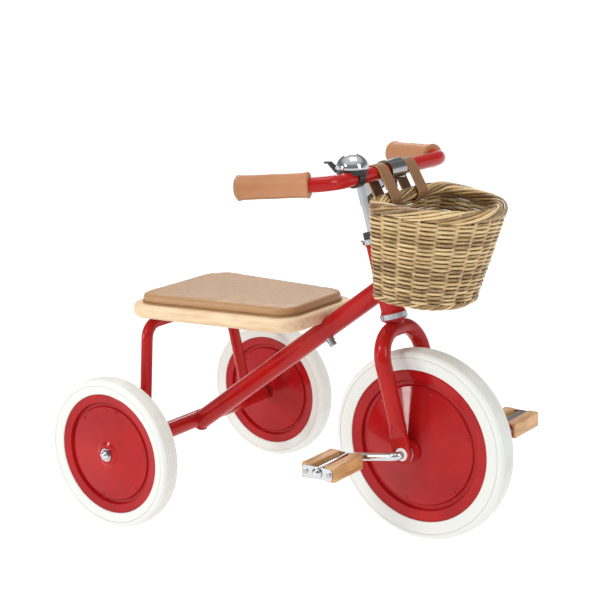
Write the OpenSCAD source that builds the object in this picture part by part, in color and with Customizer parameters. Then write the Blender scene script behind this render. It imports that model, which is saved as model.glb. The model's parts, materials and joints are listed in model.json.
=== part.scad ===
// Children's tricycle: steel frame, direct-drive front wheel, wooden seat, wicker basket.
// Millimetres. +X runs forward, +Y to the rider's left, +Z up, and the wheels stand on Z = 0.
// The origin is on the ground in the middle of the length and the width.

/* [Wheels] */
// Radius of the front wheel over its tyre
front_r = 150; // [145:1:155]
// Width of the front tyre
front_tyre_w = 40; // [36:1:42]
// Radius of the front wheel's pressed discs
front_disc_r = 120; // [114:1:122]
// Half the width over the front discs' flanges
front_flange = 16.8; // [15:0.2:17]
// Radius of each rear wheel over its tyre
rear_r = 122.3; // [118:0.1:126]
// Width of each rear tyre
rear_tyre_w = 36; // [32:1:38]
// Radius of a rear wheel's pressed discs
rear_disc_r = 97.3; // [92:0.1:100]
// Half the width over a rear wheel's disc flanges
rear_flange = 13.2; // [12:0.2:15]
// Distance from the rear axle forward to the front axle
wheelbase = 446.5; // [440:0.5:455]
// Distance between the middle planes of the rear wheels
track = 424; // [418:1:430]
// Thickness of the pressed sheet
sheet = 1.6; // [1.2:0.1:2]

/* [Frame] */
// Outer radius of the main tube
main_tube_r = 15.9; // [14:0.1:16.5]
// How far below the rear axle the main tube starts
main_tube_drop = 7; // [4:1:9]
// Where the main tube meets the steering axis, measured up that axis from the front axle
main_tube_meets = 250; // [244:1:256]
// Outer radius of the cross tube that holds the rear axle
cross_tube_r = 14; // [12:0.5:15]
// Length of the cross tube
cross_tube_len = 360; // [350:1:364]
// Outer radius of the seat hoop
hoop_r = 9.5; // [8:0.5:10]
// Half the distance between the hoop's feet
hoop_foot_y = 138; // [130:1:145]
// Half the width of the hoop's top, corner to corner
hoop_top_y = 105; // [98:1:108]
// How far the hoop's top leans back
hoop_lean = 11; // [6:1:16]
// Bend radius of the hoop's top corners
hoop_bend = 28; // [24:1:32]
// Wall of every frame tube
tube_wall = 1.8; // [1.2:0.1:2.2]

/* [Head and fork] */
// Backward tilt of the steering axis
head_angle = 14; // [12:0.5:16]
// Outer radius of the head tube
head_tube_r = 18; // [17:0.5:19]
// Length of the head tube
head_tube_len = 110; // [106:1:112]
// Outer radius of the fork tube
fork_r = 12.7; // [12:0.1:13]
// Half the distance between the fork legs
fork_half_w = 56; // [54:0.5:57]
// Height of the fork's crown above the front axle, along the steering axis
crown_up = 183; // [181:1:186]
// Bend radius of the fork's shoulders
crown_bend = 47; // [42:1:48]
// Thickness of a flattened fork end
fork_end_t = 6; // [5:0.5:7]
// Outer face of a flattened fork end, from the middle plane
fork_end_face = 62; // [61:0.5:63]

/* [Stem and handlebar] */
// Outer radius of the handlebar
bar_r = 11.1; // [11:0.1:11.3]
// How far in front of the steering axis the handlebar's middle stands
bar_ahead = 53.5; // [50:0.5:56]
// Height of the handlebar's middle above the front axle, along the steering axis
bar_up = 419.5; // [417:0.5:423]
// Half the handlebar's middle stretch, out to its bends
bar_corner_y = 158; // [154:1:162]
// How far each handlebar end reaches back from the bends
bar_sweep = 127; // [120:1:130]
// How far each handlebar end spreads out from the bends
bar_spread = 52; // [50:1:54]
// How far each handlebar end drops
bar_fall = 6; // [4:1:10]
// Bend radius of the handlebar
bar_bend = 50; // [45:1:52]
// Length of a grip
grip_len = 106; // [100:1:106]
// Radius of a grip's middle
grip_r = 17.5; // [16:0.5:19]

/* [Seat] */
// Height of the top of the seat pad
seat_top_z = 358; // [353:1:362]
// Thickness of the seat pad
pad_t = 16; // [14:1:18]
// Thickness of the seat board
board_t = 22; // [20:1:24]
// Rear edge of the board behind the rear axle
board_back = 47; // [43:1:50]
// Front edge of the board ahead of the rear axle
board_front = 272; // [268:1:276]
// Half the board's width at its rear edge
board_rear_w = 124; // [118:1:126]
// Half the board's width at its front edge
board_front_w = 95; // [90:1:98]
// How far the pad stands in from the board's edge
pad_margin = 12.5; // [10:0.5:15]

/* [Crank and pedals] */
// Radius of the one-piece crank rod
crank_rod_r = 6.35; // [6:0.05:6.5]
// Distance from the wheel's axis to a pedal's axis
crank_throw = 84; // [80:1:88]
// Angle of the crank arms off level, with the right arm behind and low
crank_angle = 9; // [0:1:20]
// Distance of the crank arms from the middle plane
crank_arm_y = 75.5; // [75.5:0.5:77]
// Inner end of a pedal from the middle plane
pedal_inner = 85; // [85:0.5:88]
// Length of a pedal's wooden blocks
pedal_len = 81; // [76:1:83]
// Overall width of a pedal
pedal_w = 60; // [54:1:62]
// Height of a pedal's blocks
pedal_h = 24; // [20:1:26]

/* [Bell] */
// Radius of the bell's dome
bell_r = 24.5; // [23:0.5:25]
// Distance of the bell from the middle plane, to the rider's right
bell_y = 96; // [94:1:100]
// How far behind the handlebar's axis the bell stands
bell_back = 5; // [4:1:7]

/* [Basket] */
// Half the width of the basket over its border
basket_half_w = 113; // [109:1:115]
// Depth of the basket over its border
basket_depth = 178; // [172:1:180]
// Height of the basket at its back
basket_h = 149; // [145:1:152]
// Half the width of the basket's floor
basket_floor_half_w = 90; // [86:1:94]
// Depth of the basket's floor
basket_floor_depth = 117; // [112:1:122]
// Forward fall of the basket's border
basket_tilt = 6.5; // [5:0.1:8]
// Forward fall of the basket's floor
basket_floor_tilt = 9; // [7:0.5:11]
// Thickness of the woven wall
basket_wall = 7; // [6:0.5:8]
// Distance of each hanging strap from the middle plane
strap_y = 38; // [36:1:40]
// Width of a strap
strap_w = 26; // [22:1:28]
// Thickness of a strap
strap_t = 2.4; // [2:0.1:2.6]

/* [Hidden] */
$fn = 64;

// Running clearance on a radius, and the small gap between pieces that are fixed together.
running = 0.05;
gap = 0.02;
// Where a bent tube's straight enters its elbow: the elbow is thicker by a hair and the ends lap.
elbow_skin = 0.02;
hoop_skin = 0.03;
elbow_lap = 0.3;

// Axle positions.
rear_x = -(wheelbase + front_r - rear_r) / 2;
front_x = rear_x + wheelbase;

// Headset levels up the steering axis.
race_at = 199;
cup_h = 8;
head_tube_at = race_at + cup_h;
head_top = head_tube_at + head_tube_len;
nut_at = head_top + cup_h + 0.3;
nut_h = 10;
lower_cup_r = 21.5;
upper_cup_r = 25;
cup_inner_r = 15.5;
bearing_h = cup_h - 2;

// Rear axle stations from the middle plane.
axle_r = 5;
hub_r = 13;
hub_bore_r = 9;
hub_inner_face = track / 2 - 24;
hub_outer_face = track / 2 + 18;
spacer_r = 11;
cap_nut_tip = 240;

// Front hub stations.
front_hub_r = 17;
front_hub_wall = 2;
front_hub_half = fork_end_face - fork_end_t - 2.5;
fork_bush_r = 9;
drive_pin_r = 2.5;

// Seat levels and fastenings.
board_top = seat_top_z - pad_t;
board_bottom = board_top - board_t;
board_corner_r = 40;
tab_t = 3;
hoop_top_z = board_bottom - tab_t - hoop_r - hoop_skin - gap;
hoop_top_x = rear_x - hoop_lean;
tab_y = 72;
seat_screw_offset = 14;
seat_screw_r = 2.5;
seat_bolt_r = 4;
seat_bolt_along = 330;

// Stem.
quill_bottom = nut_at - 66;
neck_at = nut_at + 50;
neck_r = 12.5;
neck_top = bar_up - 12;
arm_r = 10.5;
clamp_r = 16.5;
clamp_half = 20;
ear_reach = 24;
ear_w = 16;
ear_half = 5.5;
clamp_bolt_r = 2.5;
stem_bolt_r = 3;

// Crank and pedals.
crank_bend = 10;
pedal_tube_r = 9;
plate_t = 2;
block_w = 18.5;
pedal_screw_r = 2;
right_pedal = [
    front_x - crank_throw * cos(crank_angle),
    -pedal_inner,
    front_r - crank_throw * sin(crank_angle)
];

// Basket.
rim_r = 10;
rim_up = 1 - rim_r / basket_h;
back_share = 0.24;
ring_points = 48;

function unit(v) = v / norm(v);
function blend(a, b, t) = a + (b - a) * t;
// A point given as (ahead, left, up) of the front axle in the tilted frame of the steering axis.
function steer_point(ahead, left, up) = [
    front_x + ahead * cos(head_angle) - up * sin(head_angle),
    left,
    front_r + ahead * sin(head_angle) + up * cos(head_angle)
];
// Points on an arc, from angle a0 to a1.
function arc(centre, radius, a0, a1, steps) = [
    for (i = [0:steps]) let (a = blend(a0, a1, i / steps)) centre + radius * [cos(a), sin(a)]
];
// A convex outline, listed anticlockwise, with each corner rounded to the same radius.
function rounded(corners, radius, steps = 8) = let (count = len(corners)) [
    for (i = [0:count - 1])
        let (
            here = corners[i],
            to_last = unit(corners[(i + count - 1) % count] - here),
            to_next = unit(corners[(i + 1) % count] - here),
            half = acos(to_last * to_next) / 2,
            centre = here + unit(to_last + to_next) * radius / sin(half),
            start = here + to_last * radius / tan(half) - centre,
            first = atan2(start.y, start.x)
        )
        each arc(centre, radius, first, first + 180 - 2 * half, steps)
];
function mirrored(profile) = [for (i = [len(profile) - 1:-1:0]) [profile[i].x, -profile[i].y]];

// Places a shape drawn along +Z so that it starts at a point and runs along a direction.
module along(start, direction) {
    translate(start)
        rotate([0, acos(direction.z / norm(direction)), atan2(direction.y, direction.x)])
            children();
}
module rod(a, b, radius) {
    along(a, b - a) cylinder(h = norm(b - a), r = radius);
}
module ring(height, outer, inner) {
    difference() {
        cylinder(h = height, r = outer);
        translate([0, 0, -1]) cylinder(h = height + 2, r = inner);
    }
}
// Turns a shape drawn round +Z so that it lies round +Y, its top towards the rider's left.
module across() {
    rotate([-90, 0, 0]) children();
}
module at_rear_axle() {
    translate([rear_x, 0, rear_r]) children();
}
module at_front_axle() {
    translate([front_x, 0, front_r]) children();
}
module on_steering_axis() {
    at_front_axle() rotate([0, -head_angle, 0]) children();
}
module both_sides() {
    children();
    mirror([0, 1, 0]) children();
}

// Bent tubes: straight lengths joined by exact elbows.
function bend_turn(a, b, c) = acos(unit(b - a) * unit(c - b));
function bend_reach(a, b, c, radius) = radius * tan(bend_turn(a, b, c) / 2);
module elbow(a, b, c, bend, radius, skin) {
    forward = unit(b - a);
    turn = bend_turn(a, b, c);
    inward = (unit(c - b) - forward * (forward * unit(c - b))) / sin(turn);
    normal = cross(forward, inward);
    centre = b - forward * bend_reach(a, b, c, bend) + inward * bend;
    multmatrix([
        [-inward.x, forward.x, normal.x, centre.x],
        [-inward.y, forward.y, normal.y, centre.y],
        [-inward.z, forward.z, normal.z, centre.z],
        [0, 0, 0, 1]
    ])
        rotate_extrude(angle = turn) translate([bend, 0]) circle(r = radius + skin);
}
module bent_rod(points, bend, radius, skin = elbow_skin) {
    last = len(points) - 1;
    trim = [
        for (i = [0:last])
            i == 0 || i == last ? 0 : bend_reach(points[i - 1], points[i], points[i + 1], bend) - elbow_lap
    ];
    for (i = [1:last]) {
        step = unit(points[i] - points[i - 1]);
        rod(points[i - 1] + step * trim[i - 1], points[i] - step * trim[i], radius);
    }
    for (i = [1:last - 1]) elbow(points[i - 1], points[i], points[i + 1], bend, radius, skin);
}
module bent_tube(points, bend, radius, wall, skin = elbow_skin) {
    difference() {
        bent_rod(points, bend, radius, skin);
        bent_rod(points, bend, radius - wall, skin);
    }
}

// Frame.
main_low = [rear_x, 0, rear_r - main_tube_drop];
main_high = steer_point(0, 0, main_tube_meets);
main_way = unit(main_high - main_low);
module main_tube() {
    color("firebrick") difference() {
        rod(main_low, main_high, main_tube_r);
        rod(main_low, main_high, main_tube_r - tube_wall);
        translate([rear_x, 0, rear_r]) across() cylinder(h = 60, r = cross_tube_r + gap, center = true);
        on_steering_axis() cylinder(h = head_top + 50, r = head_tube_r + gap);
        seat_bolt_line() cylinder(h = 80, r = seat_bolt_r + 0.1, center = true);
    }
}
module head_tube() {
    flare_h = 6;
    flare_r = head_tube_r + 1.8;
    color("firebrick") on_steering_axis() translate([0, 0, head_tube_at]) difference() {
        union() {
            cylinder(h = head_tube_len, r = head_tube_r);
            cylinder(h = flare_h, r1 = flare_r, r2 = head_tube_r - 0.5);
            translate([0, 0, head_tube_len - flare_h])
                cylinder(h = flare_h, r1 = head_tube_r - 0.5, r2 = flare_r);
        }
        translate([0, 0, -1]) cylinder(h = head_tube_len + 2, r = cup_inner_r);
    }
}
module rear_cross_tube() {
    color("firebrick") at_rear_axle() across()
        translate([0, 0, -cross_tube_len / 2]) ring(cross_tube_len, cross_tube_r, cross_tube_r - tube_wall);
}
module seat_hoop() {
    foot = [rear_x, hoop_foot_y, rear_r];
    corner = [hoop_top_x, hoop_top_y, hoop_top_z];
    route = [foot, corner, [corner.x, -corner.y, corner.z], [foot.x, -foot.y, foot.z]];
    color("firebrick") difference() {
        bent_tube(route, hoop_bend, hoop_r, tube_wall, hoop_skin);
        at_rear_axle() across() cylinder(h = cross_tube_len, r = cross_tube_r + gap, center = true);
    }
}

// Seat.
function seat_outline(inset, corner_r) = rounded([
    [rear_x - board_back + inset, -board_rear_w + inset],
    [rear_x + board_front - inset, -board_front_w + inset],
    [rear_x + board_front - inset, board_front_w - inset],
    [rear_x - board_back + inset, board_rear_w - inset]
], corner_r - inset);
// A slab whose top and bottom edges are rounded to their own radii.
module soft_slab(inset, corner_r, thickness, top_r, bottom_r) {
    skin_t = 0.4;
    hull() {
        for (a = [0:22.5:90]) {
            translate([0, 0, thickness - skin_t - top_r * (1 - sin(a))])
                linear_extrude(skin_t) polygon(seat_outline(inset + top_r * (1 - cos(a)), corner_r));
            translate([0, 0, bottom_r * (1 - sin(a))])
                linear_extrude(skin_t) polygon(seat_outline(inset + bottom_r * (1 - cos(a)), corner_r));
        }
    }
}
// The line of the seat bolt: square to the main tube, with +Z up into the board.
module seat_bolt_line() {
    along(main_low + main_way * seat_bolt_along, [-main_way.z, 0, main_way.x]) children();
}
module seat_screw_places() {
    for (side = [-1, 1], step = [-1, 1])
        translate([hoop_top_x + step * seat_screw_offset, side * tab_y, board_bottom - tab_t]) children();
}
module seat_tabs() {
    tab_w = 30;
    tab_len = 40;
    color("firebrick") difference() {
        for (side = [-1, 1]) translate([hoop_top_x, side * tab_y, board_bottom - tab_t / 2])
            cube([tab_len, tab_w, tab_t], center = true);
        seat_screw_places() translate([0, 0, -1]) cylinder(h = tab_t + 2, r = seat_screw_r + 0.2);
    }
}
module seat_screws() {
    head_h = 2.5;
    color("silver") seat_screw_places() {
        translate([0, 0, -head_h]) cylinder(h = head_h, r1 = 3.5, r2 = 5);
        cylinder(h = tab_t + 15, r = seat_screw_r - gap);
    }
}
module seat_board() {
    color("burlywood") difference() {
        translate([0, 0, board_bottom]) soft_slab(0, board_corner_r, board_t, 6, 7);
        rod(main_low, main_high, main_tube_r + 0.3);
        seat_screw_places() cylinder(h = tab_t + 16, r = seat_screw_r);
        seat_bolt_line() cylinder(h = 33, r = seat_bolt_r + 0.1);
        seat_bolt_line() translate([0, 0, 25]) cylinder(h = 8, r = 7);
    }
}
module seat_pad() {
    color("tan") translate([0, 0, board_top]) soft_slab(pad_margin, board_corner_r + 8, pad_t, 6, 1.5);
}
module seat_bolt() {
    head_h = 8;
    washer_low = -main_tube_r - 4.3;
    color("silver") seat_bolt_line() {
        translate([0, 0, washer_low - head_h - gap]) cylinder(h = head_h, r = 6);
        translate([0, 0, washer_low - 1]) cylinder(h = 31 - washer_low, r = seat_bolt_r);
    }
}
module seat_bolt_nuts() {
    bore = seat_bolt_r + gap;
    color("silver") seat_bolt_line() {
        translate([0, 0, 26]) ring(3.5, 6.9, bore);
        translate([0, 0, -main_tube_r - 4.3]) difference() {
            cylinder(h = 9, r = 7);
            translate([0, 0, -1]) cylinder(h = 11, r = bore);
            translate([0, 0, 4.3 + main_tube_r]) rotate([0, 90, 0])
                cylinder(h = 30, r = main_tube_r + gap, center = true);
        }
    }
}

// Headset.
module headset_cups() {
    lip = 2;
    color("silver") on_steering_axis() {
        translate([0, 0, race_at]) difference() {
            union() {
                cylinder(h = cup_h - gap, r = lower_cup_r);
                cylinder(h = cup_h + 8, r = cup_inner_r - gap);
            }
            translate([0, 0, -1]) cylinder(h = cup_h + 12, r = fork_r + 1.3);
            translate([0, 0, -1]) cylinder(h = cup_h - 1, r = cup_inner_r - gap);
        }
        translate([0, 0, head_top]) difference() {
            union() {
                translate([0, 0, gap]) cylinder(h = cup_h, r = upper_cup_r - lip);
                translate([0, 0, cup_h - lip]) cylinder(h = lip, r = upper_cup_r);
                translate([0, 0, -8]) cylinder(h = 8.5, r = cup_inner_r - gap);
            }
            translate([0, 0, -10]) cylinder(h = cup_h + 12, r = fork_r + 1.3);
            translate([0, 0, 2]) cylinder(h = cup_h, r = cup_inner_r - gap);
        }
    }
}
module headset_bearings() {
    color("dimgray") on_steering_axis() {
        translate([0, 0, race_at + 0.4]) ring(bearing_h - 0.5, cup_inner_r - 2 * gap, fork_r + running);
        translate([0, 0, head_top + 2 + gap]) ring(bearing_h - 0.5, cup_inner_r - 2 * gap, fork_r + running);
    }
}

// Rear axle.
module rear_axle() {
    half = cap_nut_tip - 4;
    color("silver") at_rear_axle() across() translate([0, 0, -half]) cylinder(h = 2 * half, r = axle_r);
}
module axle_spacers() {
    start = cross_tube_len / 2;
    plug_len = 14;
    color("dimgray") at_rear_axle() both_sides() across() difference() {
        union() {
            translate([0, 0, start + gap]) cylinder(h = hub_inner_face - start - 0.3, r = spacer_r);
            translate([0, 0, start - plug_len])
                cylinder(h = plug_len + 1, r = cross_tube_r - tube_wall - gap);
        }
        translate([0, 0, start - plug_len - 1]) cylinder(h = 60, r = axle_r + gap);
    }
}
module axle_cap_nuts() {
    flange = 1.8;
    start = hub_outer_face + 0.3;
    hex_h = 4;
    dome_r = 7.5;
    color("silver") at_rear_axle() both_sides() across() difference() {
        union() {
            translate([0, 0, start]) cylinder(h = flange, r = 10.5);
            translate([0, 0, start + flange - 0.5]) cylinder(h = hex_h + 0.5, r = 8.6, $fn = 6);
            intersection() {
                translate([0, 0, cap_nut_tip - dome_r]) sphere(r = dome_r);
                translate([0, 0, start + flange]) cylinder(h = 20, r = 12);
            }
        }
        translate([0, 0, start - 1]) cylinder(h = cap_nut_tip - 4 - start + 1 + gap, r = axle_r + gap);
    }
}

// Wheels. Each profile is (radius, distance from the wheel's middle plane), anticlockwise.
function tyre_profile(outer_r, half_w, disc_r, flange) =
    let (
        bead_half = flange - sheet - gap,
        shoulder = 9,
        half = concat(
            [[disc_r - 12, bead_half - 4], [disc_r - 10, bead_half - 2], [disc_r + 0.4, bead_half - 0.8]],
            [[disc_r + 0.4, flange + 0.4], [disc_r + 2, flange + 1.2]]
        ),
        tread = arc([outer_r - 1 - shoulder, half_w - shoulder], shoulder, 100, 15, 7)
    )
    concat(
        mirrored(concat(half, tread, [[outer_r, half_w - 2 * shoulder]])),
        concat(half, tread, [[outer_r, half_w - 2 * shoulder]])
    );
module tyre(outer_r, width, disc_r, flange) {
    rotate_extrude() polygon(tyre_profile(outer_r, width / 2, disc_r, flange));
}
// A pressed disc: rolled edge, sloping flange, groove, and a cone that rises to the hub.
function disc_face(disc_r, flange, hub, rise) = [
    [hub, flange + rise],
    [hub + 3, flange + rise],
    [hub + 8, flange + rise - 2.2],
    [disc_r * 0.78, flange - 3.5],
    [disc_r * 0.8, flange - 6.5],
    [disc_r * 0.845, flange - 7],
    [disc_r * 0.865, flange - 2],
    [disc_r - 2.5, flange - 0.4],
    [disc_r - 1.2, flange],
    [disc_r, flange - 0.6]
];
module disc(disc_r, flange, hub, rise) {
    face = disc_face(disc_r, flange, hub, rise);
    back = [for (i = [len(face) - 1:-1:0]) [face[i].x, face[i].y - sheet]];
    dimple_at = 0.735 * disc_r;
    slope = (rise + 1.3) / (disc_r * 0.78 - hub - 8);
    dimple_z = flange - 3.5 + slope * (disc_r * 0.78 - dimple_at);
    rotate_extrude() polygon(concat(face, back));
    for (i = [0:5]) rotate(i * 60 + 15) translate([dimple_at, 0, dimple_z - 2.6]) sphere(r = 4.2, $fn = 24);
}
module hub_tube(outer, inner, from, to) {
    translate([0, 0, from]) ring(to - from, outer, inner);
}
module front_wheel_axis() {
    at_front_axle() across() children();
}
module front_tyre() {
    color("ivory") front_wheel_axis() tyre(front_r, front_tyre_w, front_disc_r, front_flange);
}
front_rise = 20;
module front_disc_left() {
    color("firebrick") front_wheel_axis() disc(front_disc_r, front_flange, front_hub_r + gap, front_rise);
}
module front_disc_right() {
    color("firebrick") front_wheel_axis() rotate([180, 0, 0])
        disc(front_disc_r, front_flange, front_hub_r + gap, front_rise);
}
module drive_pin_hole(extra) {
    cylinder(h = 60, r = drive_pin_r + extra, center = true);
}
module front_hub() {
    color("firebrick") difference() {
        front_wheel_axis()
            hub_tube(front_hub_r, front_hub_r - front_hub_wall, -front_hub_half, front_hub_half);
        at_front_axle() drive_pin_hole(gap);
    }
}
module hub_core() {
    color("whitesmoke") difference() {
        front_wheel_axis() hub_tube(front_hub_r - front_hub_wall - gap, crank_rod_r + gap,
            -front_hub_half, front_hub_half);
        at_front_axle() drive_pin_hole(gap);
    }
}
module drive_pin() {
    color("silver") at_front_axle()
        cylinder(h = 2 * front_hub_r - 1, r = drive_pin_r, center = true);
}
rear_rise = 8;
module rear_wheel_axis(side) {
    translate([rear_x, side * track / 2, rear_r]) across() children();
}
module rear_tyre(side) {
    color("ivory") rear_wheel_axis(side) tyre(rear_r, rear_tyre_w, rear_disc_r, rear_flange);
}
module rear_discs(side) {
    color("firebrick") rear_wheel_axis(side) {
        disc(rear_disc_r, rear_flange, hub_r + gap, side > 0 ? 4.6 : rear_rise);
        rotate([180, 0, 0]) disc(rear_disc_r, rear_flange, hub_r + gap, side > 0 ? rear_rise : 4.6);
    }
}
module rear_hub(side) {
    inner = hub_inner_face - track / 2;
    outer = hub_outer_face - track / 2;
    color("firebrick") rear_wheel_axis(side)
        hub_tube(hub_r, hub_bore_r, side > 0 ? inner : -outer, side > 0 ? outer : -inner);
}
module rear_bushes(side) {
    len = 12;
    inner = hub_inner_face - track / 2;
    outer = hub_outer_face - track / 2;
    from = side > 0 ? inner : -outer;
    to = side > 0 ? outer : -inner;
    color("dimgray") rear_wheel_axis(side) {
        hub_tube(hub_bore_r - gap, axle_r + running, from, from + len);
        hub_tube(hub_bore_r - gap, axle_r + running, to - len, to);
    }
}

// Fork.
module fork_end() {
    blade_r = 15;
    blade_top = 27;
    blend_top = 46;
    inner_face = fork_end_face - fork_end_t;
    blade = concat([[blade_r, blade_top], [-blade_r, blade_top]], arc([0, 0], blade_r, 180, 360, 16));
    difference() {
        union() {
            translate([0, fork_end_face, 0]) rotate([90, 0, 0]) linear_extrude(fork_end_t) polygon(blade);
            hull() {
                translate([-blade_r + 0.3, inner_face + 0.3, blade_top - 3])
                    cube([2 * blade_r - 0.6, fork_end_t - 0.6, 2]);
                translate([0, fork_half_w, blend_top - 2]) cylinder(h = 2, r = fork_r + 0.2, $fn = 32);
            }
        }
        translate([0, fork_end_face + 1, 0]) rotate([90, 0, 0])
            cylinder(h = fork_end_t + 2, r = fork_bush_r + gap);
    }
}
module fork() {
    leg_low = 44.5;
    route = [
        [0, -fork_half_w, leg_low], [0, -fork_half_w, crown_up],
        [0, fork_half_w, crown_up], [0, fork_half_w, leg_low]
    ];
    color("firebrick") on_steering_axis() {
        bent_tube(route, crown_bend, fork_r, tube_wall);
        both_sides() fork_end();
    }
}
module steerer() {
    color("firebrick") on_steering_axis() difference() {
        translate([0, 0, crown_up]) cylinder(h = nut_at + nut_h - 1 - crown_up, r = fork_r);
        translate([0, 0, crown_up - 1]) cylinder(h = nut_at - crown_up + 20, r = bar_r + running);
        translate([0, 0, crown_up]) across() cylinder(h = 60, r = fork_r + gap, center = true);
    }
}
module crown_race() {
    color("firebrick") on_steering_axis() translate([0, 0, race_at - 5]) difference() {
        union() {
            cylinder(h = 4.7, r = 16.5);
            translate([0, 0, 2.7]) cylinder(h = 2, r = 20);
        }
        translate([0, 0, -1]) cylinder(h = 8, r = fork_r + gap);
        translate([0, 0, crown_up - race_at + 5]) across()
            cylinder(h = 60, r = fork_r + gap, center = true);
    }
}
module lock_nut() {
    color("dimgray") on_steering_axis() translate([0, 0, nut_at]) difference() {
        cylinder(h = nut_h, r = 20.5, $fn = 6);
        translate([0, 0, -1]) cylinder(h = nut_h + 2, r = fork_r + gap);
    }
}
module fork_bushes() {
    flange = 1.8;
    color("white") at_front_axle() both_sides() across() difference() {
        union() {
            translate([0, 0, fork_end_face - fork_end_t - 1.5]) cylinder(h = fork_end_t + 2, r = fork_bush_r);
            translate([0, 0, fork_end_face + gap]) cylinder(h = flange, r = fork_bush_r + 1);
        }
        translate([0, 0, fork_end_face - 20]) cylinder(h = 40, r = crank_rod_r + running);
    }
}

// Stem and handlebar.
bar_centre = steer_point(bar_ahead, 0, bar_up);
bar_corner = bar_centre + [0, bar_corner_y, 0];
bar_end = bar_corner + [-bar_sweep, bar_spread, -bar_fall];
// The clamp's split: +X runs down from the bore to the ear bolt, and +Z along that bolt, forward.
module clamp_split() {
    translate(bar_centre) rotate([0, 90, 0]) children();
}
module stem() {
    color("silver") difference() {
        union() {
            on_steering_axis() {
                translate([0, 0, quill_bottom]) cylinder(h = neck_at - quill_bottom + 1, r = bar_r);
                translate([0, 0, neck_at]) cylinder(h = neck_top - neck_at, r = neck_r);
            }
            hull() {
                on_steering_axis() translate([0, 0, neck_top - 21]) cylinder(h = 19, r = arm_r, $fn = 32);
                translate(bar_centre) across() cylinder(h = 2 * arm_r, r = arm_r, center = true, $fn = 32);
            }
            translate(bar_centre) across() cylinder(h = 2 * clamp_half, r = clamp_r, center = true);
            clamp_split() translate([0, -ear_w / 2, -ear_half]) cube([ear_reach + 6, ear_w, 2 * ear_half]);
        }
        translate(bar_centre) across() cylinder(h = 60, r = bar_r + running, center = true);
        clamp_split() translate([0, -30, -1]) cube([60, 60, 2]);
        clamp_split() translate([ear_reach, 0, 0])
            cylinder(h = 2 * ear_half + 2, r = clamp_bolt_r + 0.1, center = true);
        clamp_split() translate([ear_reach, 0, -ear_half - 20]) cylinder(h = 20, r = 6);
        on_steering_axis() translate([0, 0, quill_bottom - 1]) cylinder(h = 260, r = 4.2);
        on_steering_axis() translate([0, 0, quill_bottom - 1]) cylinder(h = 60, r = 8);
        on_steering_axis() translate([0, 0, neck_top]) cylinder(h = 30, r = 6);
    }
}
module stem_wedge() {
    wedge_h = 15;
    color("silver") on_steering_axis() translate([0, 0, quill_bottom - wedge_h - gap])
        ring(wedge_h, bar_r, stem_bolt_r + gap);
}
module stem_bolt() {
    low = quill_bottom - 13;
    color("silver") on_steering_axis() difference() {
        union() {
            translate([0, 0, low]) cylinder(h = neck_top - low + 1, r = stem_bolt_r);
            translate([0, 0, neck_top + gap]) cylinder(h = 5, r = 5.5);
        }
        translate([0, 0, neck_top + 2]) cylinder(h = 5, r = 3, $fn = 6);
    }
}
module clamp_bolt() {
    color("silver") clamp_split() translate([ear_reach, 0, 0]) {
        translate([0, 0, -ear_half - 4]) cylinder(h = 4 - gap, r = 5.5, $fn = 6);
        translate([0, 0, -ear_half - 2]) cylinder(h = 2 * ear_half + 4, r = clamp_bolt_r);
        translate([0, 0, ear_half + gap]) cylinder(h = 3, r = 5, $fn = 6);
    }
}
module handlebar() {
    flip = [1, -1, 1];
    route = [
        [for (i = [0:2]) bar_end[i] * flip[i]],
        [for (i = [0:2]) bar_corner[i] * flip[i]],
        bar_corner,
        bar_end
    ];
    color("firebrick") bent_tube(route, bar_bend, bar_r, tube_wall);
}
module at_bar_end() {
    along(bar_end, bar_corner - bar_end) children();
}
module grip() {
    flare = 1.6;
    roll = 3;
    bore = bar_r + 0.15;
    low_end = [
        [bore, 0], [grip_r + flare - 1, 0], [grip_r + flare, roll - 1], [grip_r + flare - 1, 2 * roll]
    ];
    color("peru") at_bar_end() rotate_extrude() polygon(concat(
        low_end,
        [[grip_r, 4 * roll], [grip_r, grip_len - 4 * roll]],
        [for (i = [3:-1:0]) [low_end[i].x, grip_len - low_end[i].y]]
    ));
}
module grip_left() {
    grip();
}
module grip_right() {
    mirror([0, 1, 0]) grip();
}
module bar_end_plugs() {
    color("dimgray") both_sides() at_bar_end() {
        translate([0, 0, -2.5]) cylinder(h = 2.5 - gap, r = 14);
        translate([0, 0, -1]) cylinder(h = 13, r = bar_r - tube_wall - gap);
    }
}

// Bell. Heights are above the handlebar's axis.
dome_low = 14.5;
dome_h = 21.5;
base_low = 6;
lever_pin_r = 1.6;
lever_pin_back = 22;
module at_bell(up = 0) {
    translate(bar_centre + [-bell_back, -bell_y, up]) children();
}
module bell_base() {
    band_w = 16;
    cup_r = bell_r - 2.5;
    lug_w = 10;
    color("dimgray") difference() {
        union() {
            at_bell(base_low) cylinder(h = dome_low - 0.2 - base_low, r = cup_r);
            at_bell(base_low - 4) translate([-lever_pin_back, -lug_w / 2, 0])
                cube([lever_pin_back - 8, lug_w, 4.5]);
            at_bell(base_low - 4) translate([-lever_pin_back, 0, 0]) cylinder(h = 4, r = lug_w / 2);
            at_bell(dome_low - 1) cylinder(h = dome_h - 0.4, r = 2.5);
            at_bell() translate([bell_back, -band_w / 2, 0]) across() cylinder(h = band_w, r = bar_r + 2.8);
        }
        at_bell() translate([bell_back, 0, 0]) across() cylinder(h = 80, r = bar_r + gap, center = true);
        at_bell(base_low + 0.1) translate([-lever_pin_back, 0, 0]) cylinder(h = 20, r = lug_w / 2 + 0.6);
        at_bell(base_low - 5) translate([-lever_pin_back, 0, 0]) cylinder(h = 10, r = lever_pin_r);
    }
}
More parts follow.
